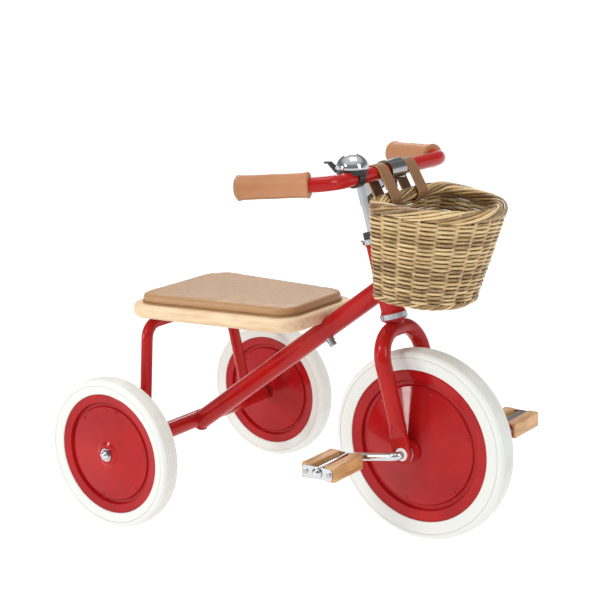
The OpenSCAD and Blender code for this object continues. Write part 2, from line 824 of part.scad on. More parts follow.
module bell_dome() {
    wall = 1.2;
    steps = 12;
    color("silver") at_bell(dome_low) rotate_extrude() polygon(concat(
        [for (i = [0:steps]) let (a = 90 * i / steps) [bell_r * cos(a), dome_h * sin(a)]],
        [for (i = [steps:-1:0]) let (a = 90 * i / steps) [(bell_r - wall) * cos(a), (dome_h - wall) * sin(a)]]
    ));
}
module bell_lever_pin() {
    color("silver") at_bell(base_low - 4) translate([-lever_pin_back, 0, 0])
        cylinder(h = 11.5, r = lever_pin_r - gap);
}
module bell_lever() {
    boss_h = 7.5;
    color("dimgray") at_bell(base_low + 0.3) translate([-lever_pin_back, 0, 0]) difference() {
        union() {
            cylinder(h = boss_h, r = 5);
            hull() {
                translate([-6.5, -3.5, 0.5]) cube([4, 7, 5]);
                translate([-18, -4, 12]) cube([2, 8, 3]);
            }
            translate([-25, -4.5, 13]) cube([9, 9, 2.5]);
        }
        translate([0, 0, -1]) cylinder(h = boss_h + 2, r = lever_pin_r + running);
    }
}

// Basket.
basket_back_top = bar_centre.x + 9.5;
basket_back_low = bar_centre.x + 12.5;
basket_top_z = bar_centre.z - 26;
// One level outline of the basket, at a share of its height, set in from the border's outer edge:
// a flat back with tight corners and a round front.
function basket_ring(share, inset) =
    let (
        back = blend(basket_back_low, basket_back_top, share),
        depth = blend(basket_floor_depth, basket_depth, share),
        half_w = blend(basket_floor_half_w, basket_half_w, share) - inset,
        corner = 2 / blend(5.5, 3, share),
        nose = 2 / blend(2.3, 2.05, share)
    )
    [for (i = [0:ring_points - 1])
        let (
            a = 360 * i / ring_points,
            front = cos(a) > 0,
            reach = depth * (front ? 1 - back_share : back_share) - inset,
            power = front ? nose : corner,
            x = depth * back_share + reach * sign(cos(a)) * pow(abs(cos(a)), power),
            y = half_w * sign(sin(a)) * pow(abs(sin(a)), power),
            floor_z = basket_top_z - basket_h - x * tan(basket_floor_tilt)
        )
        [back + x, y, blend(floor_z, basket_top_z - x * tan(basket_tilt), share)]
    ];
rim_rise = 1 - rim_up;
basket_levels = concat(
    [[0, 4], [0.03, 0.5], [0.45, 2]],
    [for (a = [-60:30:240]) [rim_up + rim_rise * sin(a), rim_r * (1 - cos(a))]],
    [[0.85, 4.5 + basket_wall], [0.45, 2 + basket_wall], [0.06, 0.5 + basket_wall]]
);
module basket() {
    rings = [for (level = basket_levels) each basket_ring(level[0], level[1])];
    last = len(basket_levels) - 1;
    walls = [
        for (k = [0:last - 1], i = [0:ring_points - 1])
            let (j = (i + 1) % ring_points, low = k * ring_points, high = low + ring_points)
            [low + i, high + i, high + j, low + j]
    ];
    under = [for (i = [0:ring_points - 1]) i];
    floor_face = [for (i = [ring_points - 1:-1:0]) last * ring_points + i];
    slot_top = basket_top_z - 2 * rim_r;
    color("burlywood") difference() {
        polyhedron(points = rings, faces = concat(walls, [under, floor_face]), convexity = 6);
        for (side = [-1, 1])
            translate([basket_back_top - 3, side * strap_y - strap_w / 2 - 2, slot_top - 7.5])
                cube([28, strap_w + 4, 7.5]);
    }
}
bar_spot = [bar_centre.x, bar_centre.z];
rim_spot = [basket_back_top + rim_r + 0.5, basket_top_z - rim_r * (1 + tan(basket_tilt))];
module strap_outline(extra) {
    hull() {
        translate(bar_spot) circle(r = bar_r + 0.3 + extra);
        translate(rim_spot) circle(r = rim_r + 1.6 + extra);
    }
}
module strap(side) {
    color("sienna") translate([0, side * strap_y + strap_w / 2, 0]) rotate([90, 0, 0])
        linear_extrude(strap_w) difference() {
            strap_outline(strap_t);
            strap_outline(0);
        }
}
module strap_studs() {
    way = unit(rim_spot - bar_spot);
    spot = (bar_spot + rim_spot) / 2 + [way.y, -way.x] * (bar_r + 0.6 + strap_t);
    color("silver") for (side = [-1, 1])
        along([spot.x, side * strap_y, spot.y], [way.y, 0, -way.x]) cylinder(h = 1.8, r = 4);
}

// Crank and pedals.
module crank() {
    throw_x = crank_throw * cos(crank_angle);
    throw_z = crank_throw * sin(crank_angle);
    tip = pedal_inner + pedal_len + 2;
    color("silver") difference() {
        at_front_axle() bent_rod([
            [-throw_x, -tip, -throw_z], [-throw_x, -crank_arm_y, -throw_z], [0, -crank_arm_y, 0],
            [0, crank_arm_y, 0], [throw_x, crank_arm_y, throw_z], [throw_x, tip, throw_z]
        ], crank_bend, crank_rod_r);
        at_front_axle() drive_pin_hole(gap);
    }
}
module pedal_end_caps() {
    cap_r = 8.5;
    cap_h = 6;
    start = pedal_len + 0.4;
    color("silver") for (left = [false, true]) pedal_side(left) difference() {
        union() {
            translate([0, 0, start]) cylinder(h = 2, r = cap_r);
            intersection() {
                translate([0, 0, start + cap_h - 10]) sphere(r = 10);
                translate([0, 0, start + 1]) cylinder(h = cap_h, r = cap_r);
            }
        }
        translate([0, 0, start - 1]) cylinder(h = 1 + 2 - 0.4 + gap, r = crank_rod_r + gap);
    }
}
// The frame of a pedal: +Z runs out along its axis from its inner end.
module pedal_side(left) {
    if (left)
        translate([2 * front_x - right_pedal.x, pedal_inner, 2 * front_r - right_pedal.z])
            rotate([-90, 0, 0]) children();
    else
        translate(right_pedal) rotate([90, 0, 0]) children();
}
module pedal_screw_places() {
    for (side = [-1, 1]) translate([side * (pedal_w / 2 - block_w / 2), 0, 0]) {
        children();
        translate([0, 0, pedal_len]) mirror([0, 0, 1]) children();
    }
}
module pedal_blocks(left) {
    inset = plate_t + gap;
    color("peru") pedal_side(left) difference() {
        for (side = [-1, 1]) translate([side * (pedal_w - block_w) / 2, 0, pedal_len / 2])
            cube([block_w, pedal_h, pedal_len - 2 * inset], center = true);
        pedal_screw_places() cylinder(h = 18, r = pedal_screw_r);
    }
}
module pedal_cage(left) {
    plate = rounded([[-26.5, -9.5], [26.5, -9.5], [26.5, 9.5], [-26.5, 9.5]], 5);
    color("silver") pedal_side(left) difference() {
        union() {
            linear_extrude(plate_t) polygon(plate);
            translate([0, 0, pedal_len - plate_t]) linear_extrude(plate_t) polygon(plate);
            cylinder(h = pedal_len, r = pedal_tube_r);
        }
        translate([0, 0, -1]) cylinder(h = pedal_len + 2, r = crank_rod_r + running);
        pedal_screw_places() translate([0, 0, -1]) cylinder(h = plate_t + 2, r = pedal_screw_r + 0.1);
    }
}
module pedal_screws(left) {
    color("silver") pedal_side(left) pedal_screw_places() {
        translate([0, 0, -1.6]) cylinder(h = 1.6 - gap, r = 4);
        translate([0, 0, -1]) cylinder(h = 18, r = pedal_screw_r - gap);
    }
}

main_tube();
head_tube();
rear_cross_tube();
seat_hoop();
seat_tabs();
seat_screws();
seat_board();
seat_pad();
seat_bolt();
seat_bolt_nuts();
headset_cups();
headset_bearings();
rear_axle();
axle_spacers();
axle_cap_nuts();
fork();
steerer();
crown_race();
lock_nut();
fork_bushes();
stem();
stem_wedge();
stem_bolt();
clamp_bolt();
handlebar();
grip_right();
grip_left();
bar_end_plugs();
bell_base();
bell_dome();
bell_lever_pin();
bell_lever();
basket();
strap(-1);  // strap_right
strap(1);  // strap_left
strap_studs();
front_tyre();
front_disc_right();
front_disc_left();
front_hub();
hub_core();
drive_pin();
crank();
pedal_end_caps();
pedal_blocks(false);  // pedal_right_blocks
pedal_cage(false);  // pedal_right_cage
pedal_screws(false);  // pedal_right_screws
pedal_blocks(true);  // pedal_left_blocks
pedal_cage(true);  // pedal_left_cage
pedal_screws(true);  // pedal_left_screws
rear_tyre(-1);  // rear_right_tyre
rear_discs(-1);  // rear_right_discs
rear_hub(-1);  // rear_right_hub
rear_bushes(-1);  // rear_right_bushes
rear_tyre(1);  // rear_left_tyre
rear_discs(1);  // rear_left_discs
rear_hub(1);  // rear_left_hub
rear_bushes(1);  // rear_left_bushes
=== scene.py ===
"""Looks for a children's tricycle: enamel, chrome, foam tyres, beech, leather and woven willow.

Everything is in metres in the part's own frame: +X forward, +Y to the rider's left, +Z up.
"""

from __future__ import annotations

import json
import logging
import math
import random
from dataclasses import dataclass, field
from enum import Enum
from typing import Iterable, Sequence

import bmesh
import bpy
from mathutils import Matrix, Vector

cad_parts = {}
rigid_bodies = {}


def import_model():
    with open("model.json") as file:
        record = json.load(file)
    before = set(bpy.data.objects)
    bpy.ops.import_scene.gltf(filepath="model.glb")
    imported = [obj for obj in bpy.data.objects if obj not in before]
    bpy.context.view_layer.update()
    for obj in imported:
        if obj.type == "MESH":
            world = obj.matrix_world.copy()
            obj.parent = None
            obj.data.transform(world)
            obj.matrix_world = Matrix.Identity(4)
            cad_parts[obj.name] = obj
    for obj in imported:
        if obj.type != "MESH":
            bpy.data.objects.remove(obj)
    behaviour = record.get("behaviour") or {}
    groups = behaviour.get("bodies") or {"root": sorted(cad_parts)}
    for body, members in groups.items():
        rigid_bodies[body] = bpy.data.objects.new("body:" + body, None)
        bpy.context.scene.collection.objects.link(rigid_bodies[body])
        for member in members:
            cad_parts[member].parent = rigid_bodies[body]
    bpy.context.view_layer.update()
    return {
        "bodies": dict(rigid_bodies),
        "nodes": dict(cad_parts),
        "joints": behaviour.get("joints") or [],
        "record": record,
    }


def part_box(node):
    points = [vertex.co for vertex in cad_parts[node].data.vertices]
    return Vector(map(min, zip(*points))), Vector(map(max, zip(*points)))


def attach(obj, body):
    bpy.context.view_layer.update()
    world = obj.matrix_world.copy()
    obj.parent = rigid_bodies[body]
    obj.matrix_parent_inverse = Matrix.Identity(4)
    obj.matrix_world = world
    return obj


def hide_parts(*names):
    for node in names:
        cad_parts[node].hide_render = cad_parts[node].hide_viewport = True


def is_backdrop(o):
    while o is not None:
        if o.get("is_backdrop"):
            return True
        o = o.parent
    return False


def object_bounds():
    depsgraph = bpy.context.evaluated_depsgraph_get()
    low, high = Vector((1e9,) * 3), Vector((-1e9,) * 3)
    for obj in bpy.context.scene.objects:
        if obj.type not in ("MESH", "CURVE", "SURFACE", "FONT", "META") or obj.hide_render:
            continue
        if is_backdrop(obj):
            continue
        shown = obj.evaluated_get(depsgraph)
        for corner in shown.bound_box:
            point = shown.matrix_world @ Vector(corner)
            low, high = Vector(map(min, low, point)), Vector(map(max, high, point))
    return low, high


LOG = logging.getLogger("tricycle")
Colour = tuple[float, float, float]
Socket = bpy.types.NodeSocket
TURN = 2 * math.pi


class Body(str, Enum):
    """The bodies that pieces ride on."""

    FRAME = "frame"
    STEERING = "steering"
    BAR = "bar_assembly"
    PEDAL_RIGHT = "pedal_right"
    PEDAL_LEFT = "pedal_left"


class Grain(Enum):
    """The direction that wood grain runs in."""

    FORWARD = (3.0, 26.0, 30.0)
    SIDEWAYS = (34.0, 4.0, 30.0)


# ---------------------------------------------------------------- finishes


class Recipe:
    """One material's node tree, built round a Principled shader."""

    def __init__(self, name: str) -> None:
        """Starts an empty material.

        Args:
            name: The material's name.
        """
        self.material = bpy.data.materials.new(name)
        self.material.use_nodes = True
        self.tree = self.material.node_tree
        self.shader = self.tree.nodes["Principled BSDF"]

    def node(self, kind: str, inputs: dict | None = None, **settings: object) -> bpy.types.Node:
        """Adds a node.

        Args:
            kind: The node's type without its ShaderNode prefix.
            inputs: Values or sockets for its inputs.
            **settings: The node's own properties.

        Returns:
            The new node.
        """
        made = self.tree.nodes.new("ShaderNode" + kind)
        for key, value in settings.items():
            setattr(made, key, value)
        for key, value in (inputs or {}).items():
            self.feed(made.inputs[key], value)
        return made

    def feed(self, socket: bpy.types.NodeSocket, value: object) -> None:
        """Links a socket to another, or sets its value.

        Args:
            socket: The input socket.
            value: A node's output socket, or a plain value.
        """
        if isinstance(value, bpy.types.NodeSocket):
            self.tree.links.new(value, socket)
        elif isinstance(value, tuple) and len(value) == 3 and socket.type == "RGBA":
            socket.default_value = (*value, 1.0)
        else:
            socket.default_value = value

    def place(
        self, scale: Sequence[float] = (1.0, 1.0, 1.0), centre: Sequence[float] = (0.0, 0.0, 0.0)
    ) -> Socket:
        """Object coordinates, moved to a centre and then scaled.

        Args:
            scale: Scale along each axis.
            centre: The point that becomes the origin.

        Returns:
            The vector socket.
        """
        where = self.node("TexCoord").outputs["Object"]
        offset = [-c * s for c, s in zip(centre, scale)]
        return self.node("Mapping", {"Vector": where, "Scale": scale, "Location": offset}).outputs[0]

    def noise(self, where: Socket, scale: float, detail: float = 3.0, roughness: float = 0.55) -> Socket:
        """A noise value.

        Args:
            where: The vector socket.
            scale: How fine the noise is.
            detail: How many octaves.
            roughness: Strength of the fine octaves.

        Returns:
            The noise socket.
        """
        made = self.node(
            "TexNoise", {"Vector": where, "Scale": scale, "Detail": detail, "Roughness": roughness}
        )
        return made.outputs[0]

    def math(self, how: str, first: object, second: object = 0.0, clamp: bool = False) -> Socket:
        """One sum on two values.

        Args:
            how: The operation.
            first: The first value or socket.
            second: The second value or socket.
            clamp: Whether the result stays in 0 to 1.

        Returns:
            The result's socket.
        """
        made = self.node("Math", operation=how, use_clamp=clamp)
        self.feed(made.inputs[0], first)
        self.feed(made.inputs[1], second)
        return made.outputs[0]

    def spread(self, value: Socket, low: float, high: float, to_low: float, to_high: float) -> Socket:
        """Maps a value from one range to another, clamped.

        Args:
            value: The socket.
            low: The value that becomes to_low.
            high: The value that becomes to_high.
            to_low: Start of the new range.
            to_high: End of the new range.

        Returns:
            The mapped socket.
        """
        sizes = {"Value": value, "From Min": low, "From Max": high, "To Min": to_low, "To Max": to_high}
        return self.node("MapRange", sizes).outputs[0]

    def ramp(self, value: Socket, stops: Iterable[tuple[float, Colour]]) -> Socket:
        """A colour ramp.

        Args:
            value: The socket that drives it.
            stops: Each stop's place and colour.

        Returns:
            The colour socket.
        """
        made = self.node("ValToRGB", {"Fac": value})
        points = made.color_ramp.elements
        stops = list(stops)
        while len(points) < len(stops):
            points.new(0.5)
        for point, (at, colour) in zip(points, stops):
            point.position = at
            point.color = (*colour, 1.0)
        return made.outputs[0]

    def mix(self, share: object, first: object, second: object, how: str = "MIX") -> Socket:
        """Mixes two colours.

        Args:
            share: How much of the second.
            first: The first colour.
            second: The second colour.
            how: The blend type.

        Returns:
            The colour socket.
        """
        made = self.node("Mix", data_type="RGBA", blend_type=how)
        self.feed(made.inputs[0], share)
        self.feed(made.inputs[6], first)
        self.feed(made.inputs[7], second)
        return made.outputs[2]

    def bump(self, height: Socket, strength: float, distance: float, before: Socket | None = None) -> Socket:
        """Bumps the surface.

        Args:
            height: The height socket.
            strength: How strong the bump is.
            distance: Its height in metres.
            before: A normal from an earlier bump.

        Returns:
            The normal socket.
        """
        made = self.node("Bump", {"Height": height, "Strength": strength, "Distance": distance})
        if before is not None:
            self.feed(made.inputs["Normal"], before)
        return made.outputs[0]

    def wear(self, **inputs: object) -> bpy.types.Material:
        """Sets the shader's inputs and returns the finished material.

        Args:
            **inputs: Socket names, with underscores for spaces.

        Returns:
            The material.
        """
        for key, value in inputs.items():
            self.feed(self.shader.inputs[key.replace("_", " ")], value)
        return self.material


@dataclass(frozen=True)
class Enamel:
    """Gloss enamel on steel, with a faint orange peel and thin dust."""

    name: str = "red_enamel"
    colour: Colour = (0.44, 0.011, 0.009)
    deep: Colour = (0.38, 0.008, 0.008)
    roughness: float = 0.16

    def make(self) -> bpy.types.Material:
        """Builds the material."""
        r = Recipe(self.name)
        where = r.place()
        drift = r.noise(where, 14.0, 2.0)
        colour = r.mix(r.spread(drift, 0.35, 0.7, 0.0, 1.0), self.deep, self.colour)
        smear = r.noise(where, 55.0, 4.0)
        rough = r.spread(smear, 0.3, 0.75, self.roughness - 0.05, self.roughness + 0.09)
        peel = r.bump(r.noise(where, 160.0, 1.0), 0.06, 0.0006)
        return r.wear(
            Base_Color=colour, Roughness=rough, Normal=peel, Coat_Weight=0.22, Coat_Roughness=0.03,
            Specular_IOR_Level=0.12,
        )


@dataclass(frozen=True)
class Plated:
    """Plated steel, from bright chrome to dull zinc."""

    name: str
    colour: Colour
    low: float
    high: float
    brushed: float = 0.0

    def make(self) -> bpy.types.Material:
        """Builds the material."""
        r = Recipe(self.name)
        where = r.place()
        smudge = r.noise(where, 70.0, 4.0)
        lines = r.noise(r.place((900.0, 900.0, 60.0)), 1.0, 2.0)
        rough = r.spread(smudge, 0.35, 0.75, self.low, self.high)
        tint = r.mix(r.spread(smudge, 0.4, 0.8, 0.0, 0.35), self.colour, tuple(c * 0.72 for c in self.colour))
        normal = r.bump(lines, self.brushed, 0.0002)
        return r.wear(Base_Color=tint, Metallic=1.0, Roughness=rough, Normal=normal)


@dataclass(frozen=True)
class FoamTyre:
    """White moulded foam: tread grooves on the crown, a moulded line on the sides, road dust, and painted shade
    darkening the grooves and lines.
    """

    name: str
    centre: Sequence[float]
    radius: float
    half_width: float
    colour: Colour = (0.76, 0.775, 0.735)
    dust_and_shade: Colour = (0.60, 0.585, 0.53)

    def make(self) -> bpy.types.Material:
        """Builds the material."""
        r = Recipe(self.name)
        where = r.place((1.0, 1.0, 1.0), self.centre)
        parts = r.node("SeparateXYZ", {"Vector": where})
        across, high, ahead = parts.outputs[1], parts.outputs[2], parts.outputs[0]
        far = r.math("SQRT", r.math("ADD", r.math("MULTIPLY", high, high), r.math("MULTIPLY", ahead, ahead)))
        side = r.math("ABSOLUTE", across)
        # three shallow grooves round the crown
        waves = r.math("COSINE", r.math("MULTIPLY", across, TURN * 3.5 / self.half_width))
        crown = r.spread(side, self.half_width * 0.55, self.half_width * 0.62, 1.0, 0.0)
        groove = r.math("MULTIPLY", r.spread(waves, 0.55, 0.95, 0.0, 1.0), crown)
        # the moulded line near the shoulder and another near the rim
        line = r.math("ABSOLUTE", r.math("SUBTRACT", far, self.radius - 0.0105))
        shoulder = r.spread(line, 0.0, 0.0009, 1.0, 0.0)
        low_line = r.math("ABSOLUTE", r.math("SUBTRACT", far, self.radius - 0.024))
        shoulder = r.math("ADD", shoulder, r.spread(low_line, 0.0, 0.0005, 0.25, 0.0), True)
        cut = r.math("ADD", groove, shoulder, True)
        grain = r.noise(where, 900.0, 2.0)
        soil = r.noise(where, 38.0, 5.0, 0.65)
        tread = r.spread(far, self.radius - 0.006, self.radius, 0.0, 0.5)
        dust_and_groove_shade = r.math("MULTIPLY", tread, r.spread(soil, 0.4, 0.7, 0.1, 1.0), True)
        # painted shade: the grooves and moulded lines are darkened towards the dust colour, on top of the real road
        # dust on the tread
        dust_and_groove_shade = r.math("ADD", dust_and_groove_shade, r.math("MULTIPLY", cut, 0.35), True)
        colour = r.mix(dust_and_groove_shade, self.colour, self.dust_and_shade)
        first = r.bump(r.math("MULTIPLY", cut, -1.0), 0.7, 0.0012)
        normal = r.bump(grain, 0.15, 0.0003, first)
        rough = r.spread(soil, 0.3, 0.7, 0.5, 0.68)
        return r.wear(Base_Color=colour, Roughness=rough, Normal=normal, Subsurface_Weight=0.0)


@dataclass(frozen=True)
class Timber:
    """Lacquered wood with long grain, rings and pores."""

    name: str
    light: Colour
    dark: Colour
    grain: Grain
    roughness: float = 0.42
    coat: float = 0.15

    def make(self) -> bpy.types.Material:
        """Builds the material."""
        r = Recipe(self.name)
        where = r.place(self.grain.value)
        bend = r.noise(where, 0.9, 2.0)
        warped = r.node("VectorMath", {0: where, 1: r.node("CombineXYZ", {0: bend, 1: bend, 2: bend}).outputs[0]})
        bands = r.noise(warped.outputs[0], 3.2, 5.0, 0.6)
        pores = r.noise(r.place(tuple(s * 9.0 for s in self.grain.value)), 1.4, 3.0, 0.7)
        tone = r.math("ADD", r.math("MULTIPLY", bands, 0.75), r.math("MULTIPLY", pores, 0.25))
        middle = tuple((a + b) / 2 for a, b in zip(self.light, self.dark))
        colour = r.ramp(tone, [(0.36, self.dark), (0.47, middle), (0.58, self.light), (1.0, self.light)])
        pits = r.spread(pores, 0.25, 0.42, 0.0, 1.0)
        return r.wear(
            Base_Color=colour,
            Roughness=r.spread(bands, 0.3, 0.7, self.roughness + 0.08, self.roughness - 0.06),
            Normal=r.bump(pits, 0.18, 0.0003),
            Coat_Weight=self.coat,
            Coat_Roughness=0.25,
        )


@dataclass(frozen=True)
class Hide:
    """Leather: pebbled grain, fine creases and a drifting tan, with a lighter cut edge where marked."""

    name: str
    colour: Colour
    dark: Colour
    edge: Colour
    pebble: float = 620.0
    roughness: float = 0.5
    crease: float = 0.05

    def make(self) -> bpy.types.Material:
        """Builds the material."""
        r = Recipe(self.name)
        where = r.place()
        cells = r.node("TexVoronoi", {"Vector": where, "Scale": self.pebble}, feature="DISTANCE_TO_EDGE")
        pebbles = r.spread(cells.outputs[0], 0.0, 0.22, 0.0, 1.0)
        creases = r.noise(where, 130.0, 5.0, 0.6)
        drift = r.noise(where, 17.0, 4.0, 0.6)
        body = r.mix(r.spread(drift, 0.36, 0.68, 0.0, 1.0), self.dark, self.colour)
        body = r.mix(r.spread(creases, 0.55, 0.8, 0.0, 0.3), body, self.dark)
        cut = r.node("Attribute", attribute_name="edge").outputs["Fac"]
        colour = r.mix(cut, body, self.edge)
        first = r.bump(creases, self.crease, 0.0008)
        normal = r.bump(pebbles, 0.18, 0.0002, first)
        rough = r.spread(creases, 0.3, 0.7, self.roughness - 0.07, self.roughness + 0.1)
        return r.wear(Base_Color=colour, Roughness=rough, Normal=normal, Sheen_Weight=0.06)


@dataclass(frozen=True)
class Willow:
    """Lacquered willow rods: each rod has its own tone, with knots and darker streaks, and painted shade darkening
    the gaps where rods lie close together.
    """

    name: str = "willow"
    pale: Colour = (0.72, 0.52, 0.26)
    mid: Colour = (0.47, 0.305, 0.125)
    brown: Colour = (0.19, 0.10, 0.036)

    def make(self) -> bpy.types.Material:
        """Builds the material."""
        r = Recipe(self.name)
        where = r.place()
        tone = r.node("Attribute", attribute_name="tone").outputs["Fac"]
        patch = r.noise(where, 34.0, 4.0, 0.6)
        streak = r.noise(r.place((110.0, 110.0, 700.0)), 1.0, 3.0, 0.6)
        value = r.math("ADD", r.math("MULTIPLY", tone, 0.5), r.math("MULTIPLY", patch, 0.5))
        value = r.math("ADD", value, r.spread(streak, 0.3, 0.7, -0.1, 0.1))
        colour = r.ramp(value, [(0.24, self.brown), (0.45, self.mid), (0.72, self.pale), (1.0, self.pale)])
        # painted shade: occlusion darkens the colour towards near black in the gaps between and behind the rods
        shade = r.node("AmbientOcclusion", {"Distance": 0.0055}, samples=8, only_local=False)
        painted_gap_shade = r.spread(shade.outputs["AO"], 0.2, 0.85, 1.0, 0.0)
        colour = r.mix(r.math("MULTIPLY", painted_gap_shade, 0.72), colour, (0.060, 0.028, 0.010))
        return r.wear(
            Base_Color=colour,
            Roughness=r.spread(patch, 0.3, 0.7, 0.26, 0.46),
            Normal=r.bump(streak, 0.3, 0.0005),
            Coat_Weight=0.3,
            Coat_Roughness=0.2,
        )


@dataclass(frozen=True)
class Moulding:
    """Moulded plastic with a fine spark texture and light scuffs."""

    name: str
    colour: Colour
    scuffed: Colour
    roughness: float = 0.42

    def make(self) -> bpy.types.Material:
        """Builds the material."""
        r = Recipe(self.name)
        where = r.place()
        spark = r.noise(where, 1500.0, 2.0)
        scuffs = r.noise(where, 120.0, 5.0, 0.7)
        return r.wear(
            Base_Color=r.mix(r.spread(scuffs, 0.55, 0.8, 0.0, 1.0), self.colour, self.scuffed),
            Roughness=r.spread(scuffs, 0.3, 0.75, self.roughness - 0.08, self.roughness + 0.14),
            Normal=r.bump(spark, 0.1, 0.0002),
        )


@dataclass(frozen=True)
class Thread:
    """Waxed thread."""

    name: str = "thread"
    colour: Colour = (0.62, 0.40, 0.19)

    def make(self) -> bpy.types.Material:
        """Builds the material."""
        r = Recipe(self.name)
        twist = r.noise(r.place(), 2600.0, 2.0)
        colour = r.mix(twist, self.colour, tuple(c * 0.6 for c in self.colour))
        return r.wear(Base_Color=colour, Roughness=0.6, Normal=r.bump(twist, 0.4, 0.0002))


class Palette:
    """Every finish of the tricycle, made once."""

    def __init__(self) -> None:
        """Builds the materials."""
        self.enamel = Enamel().make()
        self.disc = Enamel("disc_enamel", (0.43, 0.009, 0.010), (0.34, 0.006, 0.008), 0.14).make()
        self.chrome = Plated("chrome", (0.60, 0.61, 0.63), 0.04, 0.12).make()
        self.steel = Plated("dark_chrome", (0.40, 0.41, 0.43), 0.06, 0.16).make()
        self.zinc = Plated("zinc", (0.46, 0.46, 0.47), 0.26, 0.42, 0.25).make()
        self.birch = Timber("beech", (0.79, 0.60, 0.39), (0.66, 0.45, 0.26), Grain.FORWARD, 0.45, 0.1).make()
        self.oak = Timber("oak", (0.66, 0.38, 0.155), (0.36, 0.17, 0.055), Grain.SIDEWAYS).make()
        self.pad = Hide(
            "pad_leather", (0.42, 0.225, 0.092), (0.39, 0.205, 0.082), (0.5, 0.28, 0.12), 520.0, 0.40, 0.01
        ).make()
        self.grip = Hide("grip_leather", (0.46, 0.20, 0.083), (0.39, 0.16, 0.06), (0.55, 0.26, 0.11)).make()
        self.strap = Hide("strap_leather", (0.275, 0.135, 0.052), (0.225, 0.105, 0.038), (0.60, 0.29, 0.11)).make()
        self.willow = Willow().make()
        self.black = Moulding("black_plastic", (0.012, 0.012, 0.013), (0.035, 0.035, 0.037)).make()
        self.white = Moulding("white_nylon", (0.82, 0.82, 0.80), (0.70, 0.69, 0.66), 0.5).make()
        self.thread = Thread().make()


# ---------------------------------------------------------------- mesh tools


class Bench:
    """Small tools that turn bmeshes and paths into finished objects."""

    @staticmethod
    def show(
        name: str, mesh: bpy.types.Mesh, material: bpy.types.Material, sharp: float | None = None
    ) -> bpy.types.Object:
        """Puts a mesh in the scene.

        Args:
            name: The piece's name.
            mesh: Its mesh.
            material: Its finish.
            sharp: Edges over this angle in degrees stay sharp; None leaves all smooth.

        Returns:
            The object.
        """
        mesh.materials.clear()
        mesh.materials.append(material)
        mesh.shade_smooth()
        if sharp is not None:
            mesh.set_sharp_from_angle(angle=math.radians(sharp))
        piece = bpy.data.objects.new(name, mesh)
        bpy.context.scene.collection.objects.link(piece)
        return piece

    @staticmethod
    def mesh(name: str, bm: bmesh.types.BMesh) -> bpy.types.Mesh:
        """Turns a bmesh into a mesh with outward normals.

        Args:
            name: The mesh's name.
            bm: The bmesh, which is freed.

        Returns:
            The mesh.
        """
        bmesh.ops.recalc_face_normals(bm, faces=bm.faces)
        made = bpy.data.meshes.new(name)
        bm.to_mesh(made)
        bm.free()
        return made

    @staticmethod
    def rods(name: str, paths: Sequence["Rod"], sides: int = 6) -> bpy.types.Mesh:
        """Sweeps rods along paths into one mesh that keeps each rod's tone.

        Args:
            name: The mesh's name.
            paths: The rods.
            sides: Sides of each rod's section; 4, 6 or 8.

        Returns:
            The mesh.
        """
        whole = bmesh.new()
        tone = whole.verts.layers.float.new("tone")
        for rod in paths:
            curve = bpy.data.curves.new(name, "CURVE")
            curve.dimensions = "3D"
            curve.bevel_depth = rod.radius
            curve.bevel_resolution = (sides - 4) // 2
            curve.use_fill_caps = True
            spline = curve.splines.new("POLY")
            spline.points.add(len(rod.points) - 1)
            for point, spot, swell in zip(spline.points, rod.points, rod.swells()):
                point.co = (*spot, 1.0)
                point.radius = swell
            spline.use_cyclic_u = rod.closed
            holder = bpy.data.objects.new(name, curve)
            swept = bpy.data.meshes.new_from_object(holder)
            before = len(whole.verts)
            whole.from_mesh(swept)
            whole.verts.ensure_lookup_table()
            for vert in whole.verts[before:]:
                vert[tone] = rod.tone
            bpy.data.objects.remove(holder)
            bpy.data.curves.remove(curve)
            bpy.data.meshes.remove(swept)
        bmesh.ops.remove_doubles(whole, verts=whole.verts, dist=1e-7)
        return Bench.mesh(name, whole)

    @staticmethod
    def outline(bm: bmesh.types.BMesh, points: Iterable[Sequence[float]]) -> bmesh.types.BMFace:
        """Adds one flat face.

        Args:
            bm: The bmesh.
            points: Its corners in order.

        Returns:
            The face.
        """
        return bm.faces.new([bm.verts.new(p) for p in points])

    @staticmethod
    def raised(face: bmesh.types.BMFace, bm: bmesh.types.BMesh, by: Sequence[float]) -> list:
        """Extrudes a face into a closed solid.

        Args:
            face: The face.
            bm: The bmesh.
            by: The extrusion.

        Returns:
            The moved vertices.
        """
        out = bmesh.ops.extrude_face_region(bm, geom=[face], use_keep_orig=True)
        moved = [g for g in out["geom"] if isinstance(g, bmesh.types.BMVert)]
        bmesh.ops.translate(bm, verts=moved, vec=by)
        return moved


@dataclass
class Rod:
    """A round rod along a path, with a tone between 0 and 1 and an optional swelling."""

    points: list[Vector]
    radius: float
    tone: float = 0.5
    closed: bool = False
    swell: list[float] | None = None

    def swells(self) -> list[float]:
        """The swelling at each point."""
        return self.swell or [1.0] * len(self.points)


def rounded(corners: Sequence[tuple[float, float]], radius: float, steps: int = 8) -> list[tuple[float, float]]:
    """Rounds a convex outline's corners.

    Args:
        corners: The corners, anticlockwise.
        radius: The corner radius.
        steps: Segments to a corner.

    Returns:
        The rounded outline.
    """
    made = []
    for i, corner in enumerate(corners):
        here = Vector(corner)
        back = (Vector(corners[i - 1]) - here).normalized()
        on = (Vector(corners[(i + 1) % len(corners)]) - here).normalized()
        half = back.angle(on) / 2
        centre = here + (back + on).normalized() * radius / math.sin(half)
        start = here + back * radius / math.tan(half) - centre
        first = math.atan2(start.y, start.x)
        for k in range(steps + 1):
            angle = first + (math.pi - 2 * half) * k / steps
            made.append((centre.x + radius * math.cos(angle), centre.y + radius * math.sin(angle)))
    return made


def in_line(start: Vector, way: Vector) -> Matrix:
    """A transform that takes +Z to a direction, from a start point."""
    return Matrix.Translation(start) @ way.to_track_quat("Z", "Y").to_matrix().to_4x4()


# ---------------------------------------------------------------- sub-assemblies


